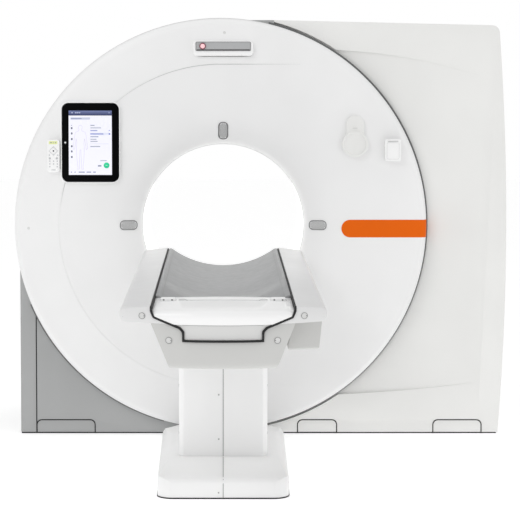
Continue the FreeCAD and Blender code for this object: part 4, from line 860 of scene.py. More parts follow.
def stands_for(node: str, mesh: bpy.types.Mesh, body: Body = Body.STAND) -> bpy.types.Object:
    """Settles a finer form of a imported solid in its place, in the solid's own finish.

    Args:
        node: The solid's name.
        mesh: The finer form.
        body: What it moves with.

    Returns:
        The new piece.
    """
    piece = settle(f"{node}_finished", mesh, FINISH_OF[node], body)
    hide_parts(node)
    return piece


# ---------------------------------------------------------------- the gantry's front


@functools.lru_cache(maxsize=None)
def surface_of(node: str) -> BVHTree:
    """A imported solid's faces, ready for rays."""
    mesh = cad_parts[node].data
    return BVHTree.FromPolygons([place.co for place in mesh.vertices],
                                [tuple(face.vertices) for face in mesh.polygons])


def drawn(node: str, places: list[Point], way: Point, sink: float = 0.0) -> list[Point]:
    """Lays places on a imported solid, as a line is drawn on a face.

    Args:
        node: The solid's name.
        places: Where each ray starts, in mm.
        way: The rays' direction, of length one.
        sink: How far under the face the places go, in mm.

    Returns:
        The places in metres; a ray that misses gives none.
    """
    tree = surface_of(node)
    hits = (tree.ray_cast(Vector(place) * MM, Vector(way))[0] for place in places)
    return [tuple(hit + Vector(way) * sink * MM) for hit in hits if hit]


def dense(path: list[Flat], step: float) -> list[Flat]:
    """A closed path with further points, so that none are more than a step apart.

    Args:
        path: The corners, in mm.
        step: The widest gap, in mm.

    Returns:
        The path with the points added.
    """
    filled: list[Flat] = []
    for start, end in zip(path, path[1:] + path[:1]):
        count = max(1, math.ceil(math.dist(start, end) / step))
        filled += [tuple(Vector(start).lerp(Vector(end), part / count)) for part in range(count)]
    return filled


@dataclass
class FrontDisc:
    """The round front cover: a funnel into the bore, a flat face, a crease and a rounded rim.

    Its shape is a rule. A section is turned round the bore's axis, with the rim's centre a little to
    the left of the bore's, and outside the crease the face leans back. The crease is a ring on the
    left and runs out level towards the right.
    """

    axis_height: float = 918.0
    offset: float = 12.0
    bore: float = 350.0
    funnel: float = 480.0
    funnel_depth: float = 55.0
    radius: float = 890.0
    depth: float = 64.0
    rim: float = 26.0
    wall: float = 8.0
    crease: float = 696.0
    lean: float = 14.0
    bead: float = 2.4
    bead_width: float = 5.0
    level_from: float = 0.0
    level_fade: float = 400.0
    steps_round: int = 360

    def section(self) -> list[Point]:
        """The wall's closed section as radius and depth, from the bore outwards and back inside."""
        width, deep = self.funnel - self.bore, self.funnel_depth
        throat = [(self.funnel - width * math.sin(turn), deep * (1 - math.cos(turn)))
                  for turn in (math.radians(90 - step * 6) for step in range(16))]
        rim = [(self.radius - self.rim + self.rim * math.sin(turn), self.rim * (1 - math.cos(turn)))
               for turn in (math.radians(step * 9) for step in range(11))]
        plain = [self.funnel + (self.crease - 12 - self.funnel) * step / 12 for step in range(1, 12)]
        fine = [self.crease - 12 + 2.5 * step for step in range(40)]
        far = [fine[-1] + (self.radius - self.rim - fine[-1]) * step / 8 for step in range(1, 8)]
        face = [(r, 0.0) for r in plain + fine + far]
        outer = throat + face + rim + [(self.radius, self.depth)]
        inner = [(self.radius - self.wall, self.depth), (self.radius - self.wall, self.rim + self.wall),
                 (self.radius - self.rim, self.wall), (self.funnel, self.wall),
                 (self.bore + 30, deep * 0.55 + self.wall), (self.bore, deep + self.wall)]
        return [(r * MM, y * MM, 0.0) for r, y in outer + inner + outer[:1]]

    def lean_back(self, recipe: Recipe, x: bpy.types.NodeSocket, z: bpy.types.NodeSocket,
                  reach: bpy.types.NodeSocket) -> bpy.types.NodeSocket:
        """How far the face leans back at a place, with the small raised edge along the crease.

        Args:
            recipe: The tree.
            x: Distance to the right of the rim's centre.
            z: Height over the bore's axis.
            reach: Distance from the bore's axis.

        Returns:
            The depth to add.
        """
        level = recipe.sum("GREATER_THAN", x, recipe.size("Level from", self.level_from * MM))
        height = recipe.sum("ABSOLUTE", z)
        away = recipe.add("GeometryNodeSwitch", {"Switch": level, "False": reach, "True": height},
                          input_type="FLOAT").outputs[0]
        crease = recipe.size("Crease radius", self.crease * MM)
        slope = recipe.add("ShaderNodeMapRange", {
            "Value": away, "From Min": crease, "From Max": recipe.size("Rim radius", self.radius * MM),
            "To Min": 0.0, "To Max": recipe.size("Lean", self.lean * MM)}).outputs["Result"]
        raised = recipe.add("ShaderNodeMapRange", {
            "Value": recipe.sum("SUBTRACT", away, crease), "From Min": -self.bead_width / 2 * MM,
            "From Max": self.bead_width / 2 * MM, "To Min": 0.0, "To Max": self.bead * MM},
            interpolation_type="SMOOTHSTEP").outputs["Result"]
        faded = recipe.add("ShaderNodeMapRange", {
            "Value": x, "From Min": 0.0, "From Max": recipe.size("Level end", self.level_fade * MM),
            "To Min": 1.0, "To Max": 0.0}).outputs["Result"]
        settled = recipe.add("ShaderNodeMapRange", {
            "Value": away, "From Min": (self.crease + 30) * MM, "From Max": (self.crease + 120) * MM,
            "To Min": 1.0, "To Max": 0.0}).outputs["Result"]
        edge = recipe.sum("MULTIPLY", raised, recipe.sum("MULTIPLY", faded, settled))
        return recipe.sum("SUBTRACT", slope, edge)

    def build(self) -> bpy.types.Object:
        """Turns the section round the axis and leans the face back.

        Returns:
            The piece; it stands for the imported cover.
        """
        recipe = Recipe("front_disc")
        around = recipe.size("Steps round", self.steps_round + 1, "Int")
        section = self.section()
        along = recipe.size("Stations", len(section), "Int")
        grid = recipe.add("GeometryNodeMeshGrid", {
            "Vertices X": around, "Vertices Y": along, "Size X": 1.0, "Size Y": 1.0})
        place = recipe.add("ShaderNodeSeparateXYZ", {
            "Vector": recipe.add("GeometryNodeInputPosition").outputs[0]})
        turn = recipe.sum("MULTIPLY", recipe.sum("ADD", place.outputs["X"], 0.5), 2 * math.pi)
        station = recipe.sum("ROUND", recipe.sum("MULTIPLY", recipe.sum("ADD", place.outputs["Y"], 0.5),
                                                 recipe.sum("SUBTRACT", along, 1.0)))
        sampled = recipe.add("GeometryNodeSampleIndex", {
            "Geometry": recipe.start, "Value": recipe.add("GeometryNodeInputPosition").outputs[0],
            "Index": station}, data_type="FLOAT_VECTOR")
        spot = recipe.add("ShaderNodeSeparateXYZ", {"Vector": sampled.outputs["Value"]})
        reach, deep = spot.outputs["X"], spot.outputs["Y"]
        x = recipe.sum("MULTIPLY", reach, recipe.sum("COSINE", turn))
        z = recipe.sum("MULTIPLY", reach, recipe.sum("SINE", turn))
        back = recipe.size("Depth", self.depth * MM)
        share = recipe.sum("DIVIDE", recipe.sum("SUBTRACT", back, deep), back)
        y = recipe.sum("MULTIPLY_ADD", self.lean_back(recipe, x, z, reach), share, deep)
        axis = recipe.size("Axis height", self.axis_height * MM)
        aside = recipe.add("ShaderNodeMapRange", {
            "Value": reach, "From Min": recipe.size("Funnel radius", self.funnel * MM),
            "From Max": (self.crease - 20) * MM, "To Min": 0.0,
            "To Max": recipe.size("Offset", -self.offset * MM)}).outputs["Result"]
        spread = recipe.add("GeometryNodeSetPosition", {
            "Geometry": grid.outputs["Mesh"],
            "Position": recipe.add("ShaderNodeCombineXYZ", {
                "X": recipe.sum("ADD", x, aside), "Y": y,
                "Z": recipe.sum("ADD", z, axis)}).outputs["Vector"]})
        closed = recipe.add("GeometryNodeMergeByDistance", {
            "Geometry": spread.outputs["Geometry"], "Distance": 1e-5})
        mesh = recipe.run(wire("section", [section]), closed.outputs["Geometry"], COVER_WHITE)
        return stands_for("front_disc_cover", solid_normals(mesh, 50.0))


# ---------------------------------------------------------------- mouldings with eased edges


# The width in mm of the eased edges, what the solids move with, and the solids.
EASINGS: tuple[tuple[float, Body, tuple[str, ...]], ...] = (
    (1.5, Body.STAND, ("tablet_dock", "tablet_body")),
    (2.0, Body.STAND, ("drive_motor",)),
    (2.5, Body.STAND, (
        "left_front_cover", "left_foot_cap", "right_foot_caps", "remote_body", "round_holder",
        "pocket_holder", "foot_cover_right", "foot_cover_left")),
    (3.0, Body.STAND, (
        "left_side_cover", "roof_cover", "right_side_cover", "rear_disc_cover", "power_cabinet",
        "bearing_plate", "gantry_base_frame")),
    (4.0, Body.STAND, ("display_housing",)),
    (2.0, Body.SHROUD, ("column_cover_right", "column_cover_left")),
    (2.0, Body.TABLE, ("side_wing_right", "side_wing_left", "table_housing", "accessory_box")),
    (1.5, Body.CRADLE, ("cradle_carriage",)),
    (2.0, Body.CRADLE, ("cradle_end_cap", "cradle_shell")),
    (1.5, Body.ROTOR, ("collimator",)),
    (2.0, Body.ROTOR, ("counterweight",)),
    (3.0, Body.ROTOR, ("xray_tube", "hv_generator", "tube_cooler")),
)


def ease_edges() -> None:
    """Settles an eased copy in the place of each moulded or cast solid."""
    for width_mm, body, nodes in EASINGS:
        for node in nodes:
            stands_for(node, eased(node, width_mm), body)


def arc(centre: Flat, radius: float, first: float, last: float, steps: int) -> list[Flat]:
    """Points on an arc in the plane of the gantry.

    Args:
        centre: Its centre's x and z, in mm.
        radius: Its radius, in mm.
        first: Where it starts, in degrees from the right, upwards.
        last: Where it ends.
        steps: Chords in it.

    Returns:
        The points as x and z.
    """
    return [(centre[0] + radius * math.cos(math.radians(first + (last - first) * step / steps)),
             centre[1] + radius * math.sin(math.radians(first + (last - first) * step / steps)))
            for step in range(steps + 1)]


def standing(points: list[Flat], y: float) -> list[Point]:
    """Points of the gantry's plane in mm as places in metres, y mm behind the disc's face."""
    return [(x * MM, y * MM, z * MM) for x, z in points]


def lying(points: list[Flat], z: float) -> list[Point]:
    """Points of a plan in mm as places in metres, z mm over the floor."""
    return [(x * MM, y * MM, z * MM) for x, y in points]


@dataclass
class GantrySeams:
    """The rubber lines between the gantry's covers, the painted shade lines along the crease and in the gap
    round the disc, and the black strip that paints the shadow line along the floor.
    """

    centre: Flat = (-12.0, 918.0)
    ring: float = 895.5
    ring_front: float = 67.0
    seam_width: float = 9.0
    dark_spans: tuple[Flat, ...] = ((-74.0, 76.5), (203.0, 254.0))
    panel_front: float = 68.0
    panel_line: float = 4.8
    strip_side: float = -815.0
    strip_top: float = 520.0
    cap_height: float = 60.0
    cap_low: float = 4.0
    cap_round: float = 22.0
    caps: tuple[Flat, ...] = ((-814.0, -560.0), (325.0, 496.0), (917.0, 1128.0))
    crease_width: float = 2.8
    crease_inside: float = 2.4
    floor_path: tuple[Flat, ...] = ((-190.0, 72.0), (-880.0, 72.0), (-880.0, 798.0), (1174.0, 798.0),
                                    (1192.0, 74.0), (262.0, 72.0))

    def cap_line(self, left: float, right: float) -> list[Point]:
        """The line round a foot cap, open at the floor.

        Args:
            left: The cap's left side, in mm.
            right: Its right side.

        Returns:
            The line's places in metres.
        """
        corner = self.cap_round
        path = [(left, self.cap_low), (left, self.cap_height - corner)]
        path += arc((left + corner, self.cap_height - corner), corner, 180, 90, 6)
        path += arc((right - corner, self.cap_height - corner), corner, 90, 0, 6)
        return standing(path + [(right, self.cap_low)], self.panel_front)

    def build(self) -> None:
        """Lays every line."""
        disc = FrontDisc()
        height, reach = disc.axis_height, disc.crease - self.crease_inside
        over = [(x, height + reach) for x in range(330, -10, -20)]
        over += arc((-disc.offset, height), reach, 90, 137, 40)
        # Painted shade: pale grey lines along the crease, thinning out at their ends.
        Bead("crease_line", [standing(over, -0.5)], self.crease_width, PALE_SHADE_LINE_GREY, ends=(0.35, 0.5)).build()
        under = arc((-disc.offset, height), reach, 164, 173, 9)
        Bead("crease_line_low", [standing(under, -0.5)], self.crease_width, PALE_SHADE_LINE_GREY,
             ends=(0.05, 0.9)).build()
        # Painted shadow: the grey seam is laid only on the spans where the gap round the disc is in shade.
        shadow = [standing(arc(self.centre, self.ring, *span, 90), self.ring_front)
                  for span in self.dark_spans]
        Bead("disc_seam_front", shadow, self.seam_width, SEAM_GAP_SHADE_GREY, corners=10).build()
        panels = [self.cap_line(*span) for span in self.caps]
        strip = [(self.strip_side, height) for height in (self.cap_low, self.strip_top)]
        panels.append(standing(strip, self.panel_front))
        Bead("panel_lines", panels, self.panel_line, RUBBER_AND_FLOOR_SHADOW, flat=0.6).build()
        # Painted shadow: a black strip on the floor along the foot of the covers.
        Bead("floor_strip", [lying(self.floor_path, 3.0)], 6.0, RUBBER_AND_FLOOR_SHADOW).build()


@dataclass
class FrontFittings:
    """What the disc carries: status display, lamp, laser windows and the holders' small parts."""

    axis_height: float = 918.0
    window: Frame = (-117.0, 117.0, 1669.0, 1707.0)
    window_front: float = -24.0
    housing: tuple[float, float, float] = (128.5, 1645.0, 15.0)
    lamp: Flat = (-88.0, 1689.0)
    lamp_radius: float = 12.0
    lamp_front: float = -28.0
    laser_radius: float = 408.0
    laser_length: float = 72.0
    laser_width: float = 39.0
    laser_border: float = 4.0
    dock: Frame = (-695.5, -444.5, 1103.5, 1448.5)
    dock_front: float = -16.5
    pocket_front: float = -30.2
    holder_front: float = -24.2
    mouth: float = 350.0
    mouth_depth: float = 55.0
    pocket: Frame = (703.0, 755.0, 1205.0, 1277.0)
    pocket_slot: tuple[Flat, ...] = ((707.0, 1282.0), (751.0, 1282.0))
    holder_mark: tuple[Flat, ...] = ((556.0, 1338.0), (576.0, 1338.0))
    plugs: tuple[Flat, ...] = ((-840.0, 905.0), (5.0, 1747.0))

    def display(self) -> None:
        """The painted shadow line under the display's housing, the window's frame and lower strip, and the
        ring round the lamp.
        """
        half, low, corner = self.housing
        edge = arc((corner - half, low + corner), corner, 180, 270, 8)
        edge += [(x, low) for x in range(-100, 101, 20)]
        edge += arc((half - corner, low + corner), corner, 270, 360, 8)
        joint = drawn("front_disc_cover", [(x, -500.0, z) for x, z in edge], (0.0, 1.0, 0.0), -1.4)
        # Painted shadow: a grey bead along the housing's lower edge.
        Bead("display_joint", [joint], 3.6, ends=(0.2, 0.2)).build()
        left, right, low, high = self.window
        frame_line = standing(rounded(left, right, low, high, 4.0), self.window_front)
        Bead("display_frame", [frame_line], 3.0, DARK_TRIM_AND_HOLLOW_SHADE, closed=True, flat=0.6).build()
        strip = moulded("display_foot_strip", rounded(left + 3, right - 3, low + 1.5, low + 7, 2.0),
                        self.window_front - 0.6, self.window_front, 0.3)
        settle("display_foot_strip", strip, DARK_TRIM_AND_HOLLOW_SHADE)
        ring = standing(arc(self.lamp, self.lamp_radius, 0, 360, 24)[:-1], self.lamp_front)
        Bead("lamp_ring", [ring], 4.2, LAMP_RING, closed=True).build()

    def lasers(self) -> None:
        """The dark borders of the laser windows and the fine ribs behind their tint."""
        borders: list[list[Point]] = []
        ribs: list[list[Point]] = []
        half_width, half_length = self.laser_width / 2, self.laser_length / 2
        for turn in (0, 90, 180):
            angle = math.radians(turn)
            away = Vector((math.cos(angle), math.sin(angle)))
            across = Vector((-math.sin(angle), math.cos(angle)))
            outline = rounded(self.laser_radius - half_length, self.laser_radius + half_length,
                              -half_width, half_width, half_width * 0.85, 8)
            borders.append([self.on_funnel(away * reach + across * side) for reach, side in outline])
            for step in range(-3, 4):
                side = step * half_width * 0.25
                short = half_length - (4.0 if abs(step) < 2 else 9.0)
                ribs.append([self.on_funnel(away * (self.laser_radius + short * part) + across * side)
                             for part in (-1.0, -0.5, 0.0, 0.5, 1.0)])
        Bead("laser_borders", borders, self.laser_border, DARK_TRIM_AND_HOLLOW_SHADE, closed=True, flat=0.7).build()
        Bead("laser_ribs", ribs, 1.6, WINDOW_RIB, corners=FINE).build()

    def on_funnel(self, spot: Vector) -> Point:
        """A place just in front of the funnel's face.

        Args:
            spot: Its offset from the bore's axis, in mm.

        Returns:
            The place in metres.
        """
        disc = FrontDisc()
        width = disc.funnel - disc.bore
        inside = min(max((disc.funnel - spot.length) / width, 0.0), 1.0)
        deep = disc.funnel_depth * (1 - math.sqrt(1 - inside ** 2))
        return spot.x * MM, (deep - 1.6) * MM, (self.axis_height + spot.y) * MM

    def holders(self) -> None:
        """The pocket's slot and inner edge as painted shade, a grey line for the dark of the slot and a pale
        grey line round its sides, and the small rest mark on the round holder.
        """
        # Painted shade: the slot's dark and the shade round the pocket's sides.
        Bead("pocket_slot", [standing(self.pocket_slot, self.pocket_front)], 3.6, flat=0.5).build()
        inner = standing(rounded(*self.pocket, 8.0), self.pocket_front)
        Bead("pocket_inner_edge", [inner], 1.6, PALE_SHADE_LINE_GREY, closed=True, flat=0.5).build()
        Bead("holder_mark", [standing(self.holder_mark, self.holder_front)], 2.2, flat=0.5).build()

    def marks(self) -> None:
        """Two small plugged fixing holes in the disc, and a pale grey ring at the bore's mouth that paints
        the shade at the liner's edge.
        """
        mouth = arc((0.0, self.axis_height), self.mouth, 0, 360, 120)[:-1]
        # Painted shade: a pale grey ring along the liner's edge.
        Bead("bore_mouth_joint", [standing(mouth, self.mouth_depth)], 2.6, PALE_SHADE_LINE_GREY, closed=True).build()
        plug = head((6.2, 5.0, 1.8, 1.2), (-1.0, 0.6, 1.1, 0.4))
        Studs("disc_plugs", standing(self.plugs, 10.0), (0, -1, 0), plug, SEAM_PALE).build()

    def build(self) -> None:
        """Fits everything on the disc."""
        self.display()
        self.lasers()
        self.holders()
        lip = standing(rounded(*self.dock, 31.0, 8), self.dock_front)
        Bead("tablet_dock_lip", [lip], 5.0, FITTING_WHITE, closed=True).build()
        self.marks()


@dataclass
class Ink:
    """A flat printed or lit shape with a lower and an upper colour."""

    outline: list[Flat]
    low: str
    high: str = ""


@dataclass
class Screen:
    """The tablet's lit picture: a header, a page, a pale outline of a body, lines and marks."""

    left: float = -663.0
    right: float = -478.0
    low: float = 1137.0
    high: float = 1413.0
    face: float = -20.6
    header: float = 21.0
    layer_step: float = 0.25

    def bar(self, x: float, z: float, width: float, height: float, low: str, high: str = "") -> Ink:
        """A flat bar.

        Args:
            x: Its left end, in mm.
            z: Its middle height.
            width: Its width.
            height: Its height.
            low: Its colour, at its foot where it has two.
            high: Its colour at its top.

        Returns:
            The bar.
        """
        under, over = z - height / 2, z + height / 2
        return Ink([(x, under), (x + width, under), (x + width, over), (x, over)], low, high)

    def figure(self, x: float, foot: float) -> list[Ink]:
        """The pale outline of a standing body.

        Args:
            x: Its middle, in mm.
            foot: The height of its feet.

        Returns:
            The strokes that draw it.
        """
        half = [(0.0, 190.0), (6.0, 187.0), (8.5, 179.0), (5.5, 170.0), (7.0, 165.0), (20.0, 160.0),
                (24.0, 148.0), (28.0, 118.0), (31.0, 90.0), (27.0, 84.0), (24.0, 92.0), (18.0, 132.0),
                (15.0, 112.0), (17.0, 92.0), (15.0, 46.0), (11.0, 8.0), (13.0, 0.0), (5.0, 1.0), (4.0, 40.0),
                (1.5, 86.0)]
        strokes = []
        for side in (-1, 1):
            for (x0, z0), (x1, z1) in zip(half, half[1:]):
                run = Vector((side * (x1 - x0), z1 - z0))
                across = Vector((-run.y, run.x)).normalized() * 0.55
                start, end = Vector((x + side * x0, foot + z0)), Vector((x + side * x1, foot + z1))
                corners = (start - across, end - across, end + across, start + across)
                strokes.append(Ink([tuple(corner) for corner in corners], "D3CCE0"))
        return strokes

    def layers(self) -> list[list[Ink]]:
        """The picture's layers, from the page forwards."""
        left, right, low, high = self.left, self.right, self.low, self.high
        page = [Ink([(left, low), (right, low), (right, high), (left, high)], "F3F3FC", "EFEFF9")]
        body_x, text_x = left + 50.0, left + 93.0
        blocks = [self.bar(left, high - self.header / 2, right - left, self.header, "16204F", "6B76A4"),
                  self.bar(left + 8, high - 34, 84, 9, "C3C8DC"),
                  self.bar(text_x - 2, 1313.0, 82, 9, "DEE2F4")]
        marks = [self.bar(left + 12 + 8 * at, high - 9, 5.5, 4, "B9C0DA") for at in (0, 2, 3, 4)]
        marks += [self.bar(right - 14, high - 9, 5, 4, "9AA3C8"),
                  self.bar(left + 10, high - 34, 46, 3.4, "8F97B8")]
        marks += [self.bar(left + 10, z, 6, 8, "565B73") for z in (1338, 1315, 1291, 1260, 1238, 1214)]
        marks += [self.bar(left + 10.5, 1350.0, 4, 3, "9AA0B4")]
        rows = ((1350, 18, "8D93A8"), (1339, 46, "A6ABBE"), (1327, 30, "7F8BCB"), (1301, 34, "8A93B8"),
                (1290, 26, "A6ABBE"), (1281, 31, "A6ABBE"), (1259, 42, "9EA4B8"))
        marks += [self.bar(text_x, z, width, 3.4, shade_of) for z, width, shade_of in rows]
        marks += [self.bar(text_x, 1313.0, 56, 4.0, "7B86CC"), self.bar(right - 13, 1313.0, 6, 6, "6471C4"),
                  self.bar(right - 13, 1328.0, 4, 4, "8791D0"), self.bar(text_x, 1270.5, 78, 0.9, "C9CCDA")]
        marks += [self.bar(left + 135, 1198.0, 28, 3, "A6ABBE"),
                  self.bar(left + 125, 1176.0, 15, 6, "9298AC")]
        marks += [self.bar(left + x, low + 12, width, 3.6, "7681A8")
                  for x, width in ((9, 4), (24, 5), (42, 26), (76, 20), (104, 12))]
        dot = [Ink(arc((left + 162, 1178.0), 12.5, 0, 360, 28)[:-1], "10C48B", "22D29B")]
        tick = [self.bar(left + 158, 1178.0, 8, 1.6, "CFF5E7")]
        return [page, blocks, self.figure(body_x, low + 24) + marks + dot, tick]

    def build(self) -> bpy.types.Object:
        """Lays the layers on the glass, each a little in front of the one before.

        Returns:
            The piece.
        """
        mesh = bpy.data.meshes.new("screen_picture")
        points: list[Point] = []
        faces: list[list[int]] = []
        colours: list[Frame] = []
        for level, layer in enumerate(self.layers()):
            y = self.face - self.layer_step * (level + 1)
            for ink in layer:
                bottom, top = min(z for _, z in ink.outline), max(z for _, z in ink.outline)
                low, high = linear(ink.low), linear(ink.high or ink.low)
                faces.append(list(range(len(points), len(points) + len(ink.outline))))
                points += standing(ink.outline, y)
                for _, z in ink.outline:
                    share = (z - bottom) / (top - bottom)
                    colours.append(tuple(a + (b - a) * share for a, b in zip(low, high)))
        mesh.from_pydata(points, [], faces)
        layer = mesh.color_attributes.new("ink", "FLOAT_COLOR", "POINT")
        for place, colour in zip(layer.data, colours):
            place.color = colour
        shaped = bmesh.new()
        shaped.from_mesh(mesh)
        for face in shaped.faces:
            if face.normal.y > 0:
                face.normal_flip()
        shaped.to_mesh(mesh)
        shaped.free()
        return settle("screen_picture", mesh, SCREEN_INK)


@dataclass
class Remote:
    """The small remote control's face, and the light in the tablet's home button beside it."""

    middle: float = -729.0
    face: float = -20.0
    patch: Frame = (-749.0, -712.0, 1269.0, 1282.0)
    pad_height: float = 1240.0
    pad_reach: float = 19.0
    pad_face: float = -21.6
    home: Flat = (-678.0, 1276.0)
    home_face: float = -21.2
    rows: tuple[tuple[float, tuple[float, ...]], ...] = (
        (1222.0, (-18.0, 18.0)), (1196.0, (-16.0, 0.0, 16.0)), (1184.0, (-16.0, 0.0, 16.0)),
        (1172.0, (-16.0, 16.0)))

    def build(self) -> None:
        """Builds the parts on the remote's face."""
        left, right, low, high = self.patch
        outline = rounded(left, right, low, high, 3.0)
        glass = moulded("remote_display", outline, self.face - 0.6, self.face + 0.5, 0.3)
        settle("remote_display", glass, LCD_GREEN)
        bars = [moulded("bar", rounded(left + x, left + x + wide, low + 4.5, low + 8.5, 0.8),
                        self.face - 0.9, self.face - 0.5) for x, wide in ((5, 10), (19, 3), (26, 6))]
        settle("remote_display_marks", together("remote_display_marks", bars), KEY_GREY)
        x, z, reach = self.middle, self.pad_height, self.pad_reach
        diamond = standing([(x + reach, z), (x, z + reach), (x - reach, z), (x, z - reach)], self.face)
        Bead("remote_pad_outline", [diamond], 1.3, KEY_GREY, closed=True, corners=FINE).build()
        key = lathe("key", [(0.0028, -0.0006), (0.0028, 0.0006), (0.0021, 0.0011)], 16)
        places = [(x + side, height) for height, sides in self.rows for side in sides]
        Studs("remote_small_keys", standing(places, self.face), (0, -1, 0), key, KEY_PALE).build()
        outline = rounded(x - 9, x + 9, 1157.0, 1159.5, 1.0)
        mark = moulded("remote_end_mark", outline, self.face - 0.4, self.face + 0.3, 0.2)
        settle("remote_end_mark", mark, KEY_GREY)
        dot = lathe("dot", [(0.0034, -0.0002), (0.0034, 0.0004), (0.0025, 0.0008)], 20)
        Studs("remote_pad_dot", standing([(x, z)], self.pad_face), (0, -1, 0), dot, KEY_DARK,
              Body.PAD).build()
        light = lathe("light", [(0.0034, -0.0006), (0.0034, 0.0003), (0.0026, 0.0007)], 20)
        Studs("home_button_light", standing([self.home], self.home_face), (0, -1, 0), light, FITTING_WHITE,
              Body.HOME).build()


# Where rays start: beside the table and over it, in mm.
BESIDE = 1500.0
OVERHEAD = 900.0
DOWN = (0.0, 0.0, -1.0)
# Each side's name, with the way along X in which a ray comes to it from outside.
SIDES = (("right", -1.0), ("left", 1.0))


@dataclass
class PatientTable:
    """The table's small parts: edge bead, screw caps, latch dots, grip edge and box seams.

    A cap is given by its x and z, how far its face lies behind the bow and its notch's offset in x.
    """

    near: float = -2288.0
    far: float = -80.0
    half: float = 341.0
    bow: float = 115.0
    bead_width: float = 6.6
    bead_back: float = 1.5
    bead_bend: float = 9.0
    side_width: float = 4.6
    rise: tuple[Flat, ...] = ((234.5, 827.0), (234.5, 814.0), (226.5, 794.5), (141.0, 762.0), (129.5, 750.0),
                              (129.5, 720.5))
    bowed_from: float = 60.0
    caps: tuple[Frame, ...] = ((-264.0, 797.0, 1.0, 7.0), (264.0, 797.0, 1.0, 7.0),
                               (-176.0, 721.0, 3.0, 7.0), (176.0, 721.0, 3.0, -7.0))
    cap_radius: float = 10.0
    grip: Frame = (-150.0, 150.0, -1975.0, -1933.0)
    lug: Flat = (186.0, -1947.0)
    lug_half: Flat = (27.0, 31.0)
    lug_top: float = 824.0
    latch_spread: float = 14.0
    cap_shade_line_half: int = 132
    cap_shade_line_height: float = 772.5
    bed_side: float = 210.0
    bed_stations: range = range(-1868, -61, 43)
    wing_shadow_line: float = 789.0
    wing_stations: range = range(-2180, -80, 60)
    housing_screws: tuple[float, ...] = (-2120.0, -1700.0, -1250.0, -700.0, -250.0)
    behind_box: float = -1700.0
    lid_stations: range = range(-1970, -1510, 20)
    lip_stations: range = range(-1790, -1690, 10)

    def bow_at(self, x: float) -> float:
        """The y of the table's bowed near end, x mm from the middle."""
        radius = (self.half ** 2 + self.bow ** 2) / (2 * self.bow)
        return self.near + radius - math.sqrt(radius ** 2 - x ** 2)

    def softened(self, path: list[Point], bend: float) -> list[Point]:
        """A path with its inner corners rounded.

        Args:
            path: The corners, in mm.
            bend: The length before and after a corner over which it turns.

        Returns:
            The path with each corner as a short curve.
        """
        soft = [path[0]]
        for before, corner, after in zip(path, path[1:], path[2:]):
            here = Vector(corner)
            into, out = Vector(before) - here, Vector(after) - here
            start = here + into.normalized() * min(bend, into.length * 0.45)
            end = here + out.normalized() * min(bend, out.length * 0.45)
            soft += [tuple(start.lerp(here, part).lerp(here.lerp(end, part), part))
                     for part in (0.0, 0.25, 0.5, 0.75, 1.0)]
        return soft + [path[-1]]

    def edge_line(self) -> list[Point]:
        """The bead's path: along one wing's edge, round the near end's profile and back.

        Returns:
            The path in metres.
        """
        right = [(x, self.bow_at(x) + self.bead_back, z) for x, z in self.rise]
        half = [(self.rise[0][0], right[0][1] + 30.0, right[0][2] - 1.0)] + right
        whole = half + [(-x, y, z) for x, y, z in reversed(half)]
        filled: list[Point] = []
        for start, end in zip(whole, whole[1:]):
            bowed = abs(start[0] - end[0]) > self.bowed_from
            steps = 8 if bowed else 1
            for step in range(steps):
                place = Vector(start).lerp(Vector(end), step / steps)
                if bowed:
                    place.y = self.bow_at(place.x) + self.bead_back
                filled.append(tuple(place))
        filled.append(whole[-1])
        return [(x * MM, y * MM, z * MM) for x, y, z in self.softened(filled, self.bead_bend)]

    def edges(self) -> None:
        """The bead round the near end and the beads along both sides."""
        Bead("table_edge_bead", [self.edge_line()], self.bead_width, RUBBER_AND_FLOOR_SHADOW, Body.TABLE, corners=12).build()
        side, top = self.rise[0]
        runs = [lying([(way * side, self.far), (way * side, self.bow_at(side) + 26.0)], top - 2.4)
                for way in (-1, 1)]
        Bead("table_side_beads", runs, self.side_width, RUBBER_AND_FLOOR_SHADOW, Body.TABLE, corners=12).build()

    def screws(self) -> None:
        """The round caps: a fine dark ring, and at each a small dark stud that paints the shade of its pry
        notch.
        """
        rings: list[list[Point]] = []
        notches: list[Point] = []
        for middle, height, back, offset in self.caps:
            circle = arc((middle, height), self.cap_radius, 0, 360, 28)[:-1]
            rings.append([(x * MM, (self.bow_at(x) + back - 0.2) * MM, z * MM) for x, z in circle])
            edge = middle + offset
            notches.append((edge * MM, (self.bow_at(edge) + back - 0.3) * MM, height * MM))
        Bead("screw_cap_rings", rings, 1.7, body=Body.TABLE, closed=True, corners=FINE).build()
        notch = lathe("notch", [(0.0016, -0.0006), (0.0016, 0.0003), (0.0009, 0.0006)], 12)
        # Painted shade: a dark stud for the inside of each pry notch.
        Studs("screw_cap_notches", notches, (0, -1, 0), notch, DARK_TRIM_AND_HOLLOW_SHADE, Body.TABLE).build()

    def flanks(self) -> None:
        """The painted shadow lines along the wings' sides, and the housing's screws."""
        screw = head((6.5, 5.5, 2.2, 1.6), (-2.0, 0.6, 1.4, 0.5))
        for side, way in SIDES:
            rays = [(-BESIDE * way, y, self.wing_shadow_line) for y in self.wing_stations]
            joint = drawn(f"side_wing_{side}", rays, (way, 0.0, 0.0), 0.2)
            # Painted shadow: a grey line along each wing's side.
            Bead(f"wing_joint_{side}", [joint], 1.8, body=Body.TABLE, corners=FINE).build()
            spots = [y for y in self.housing_screws if side == "left" or y != self.behind_box]
            places = drawn("table_housing", [(-BESIDE * way, y, 728.0) for y in spots], (way, 0.0, 0.0))
            Studs(f"housing_screws_{side}", places, (-way, 0, 0), screw, body=Body.TABLE).build()

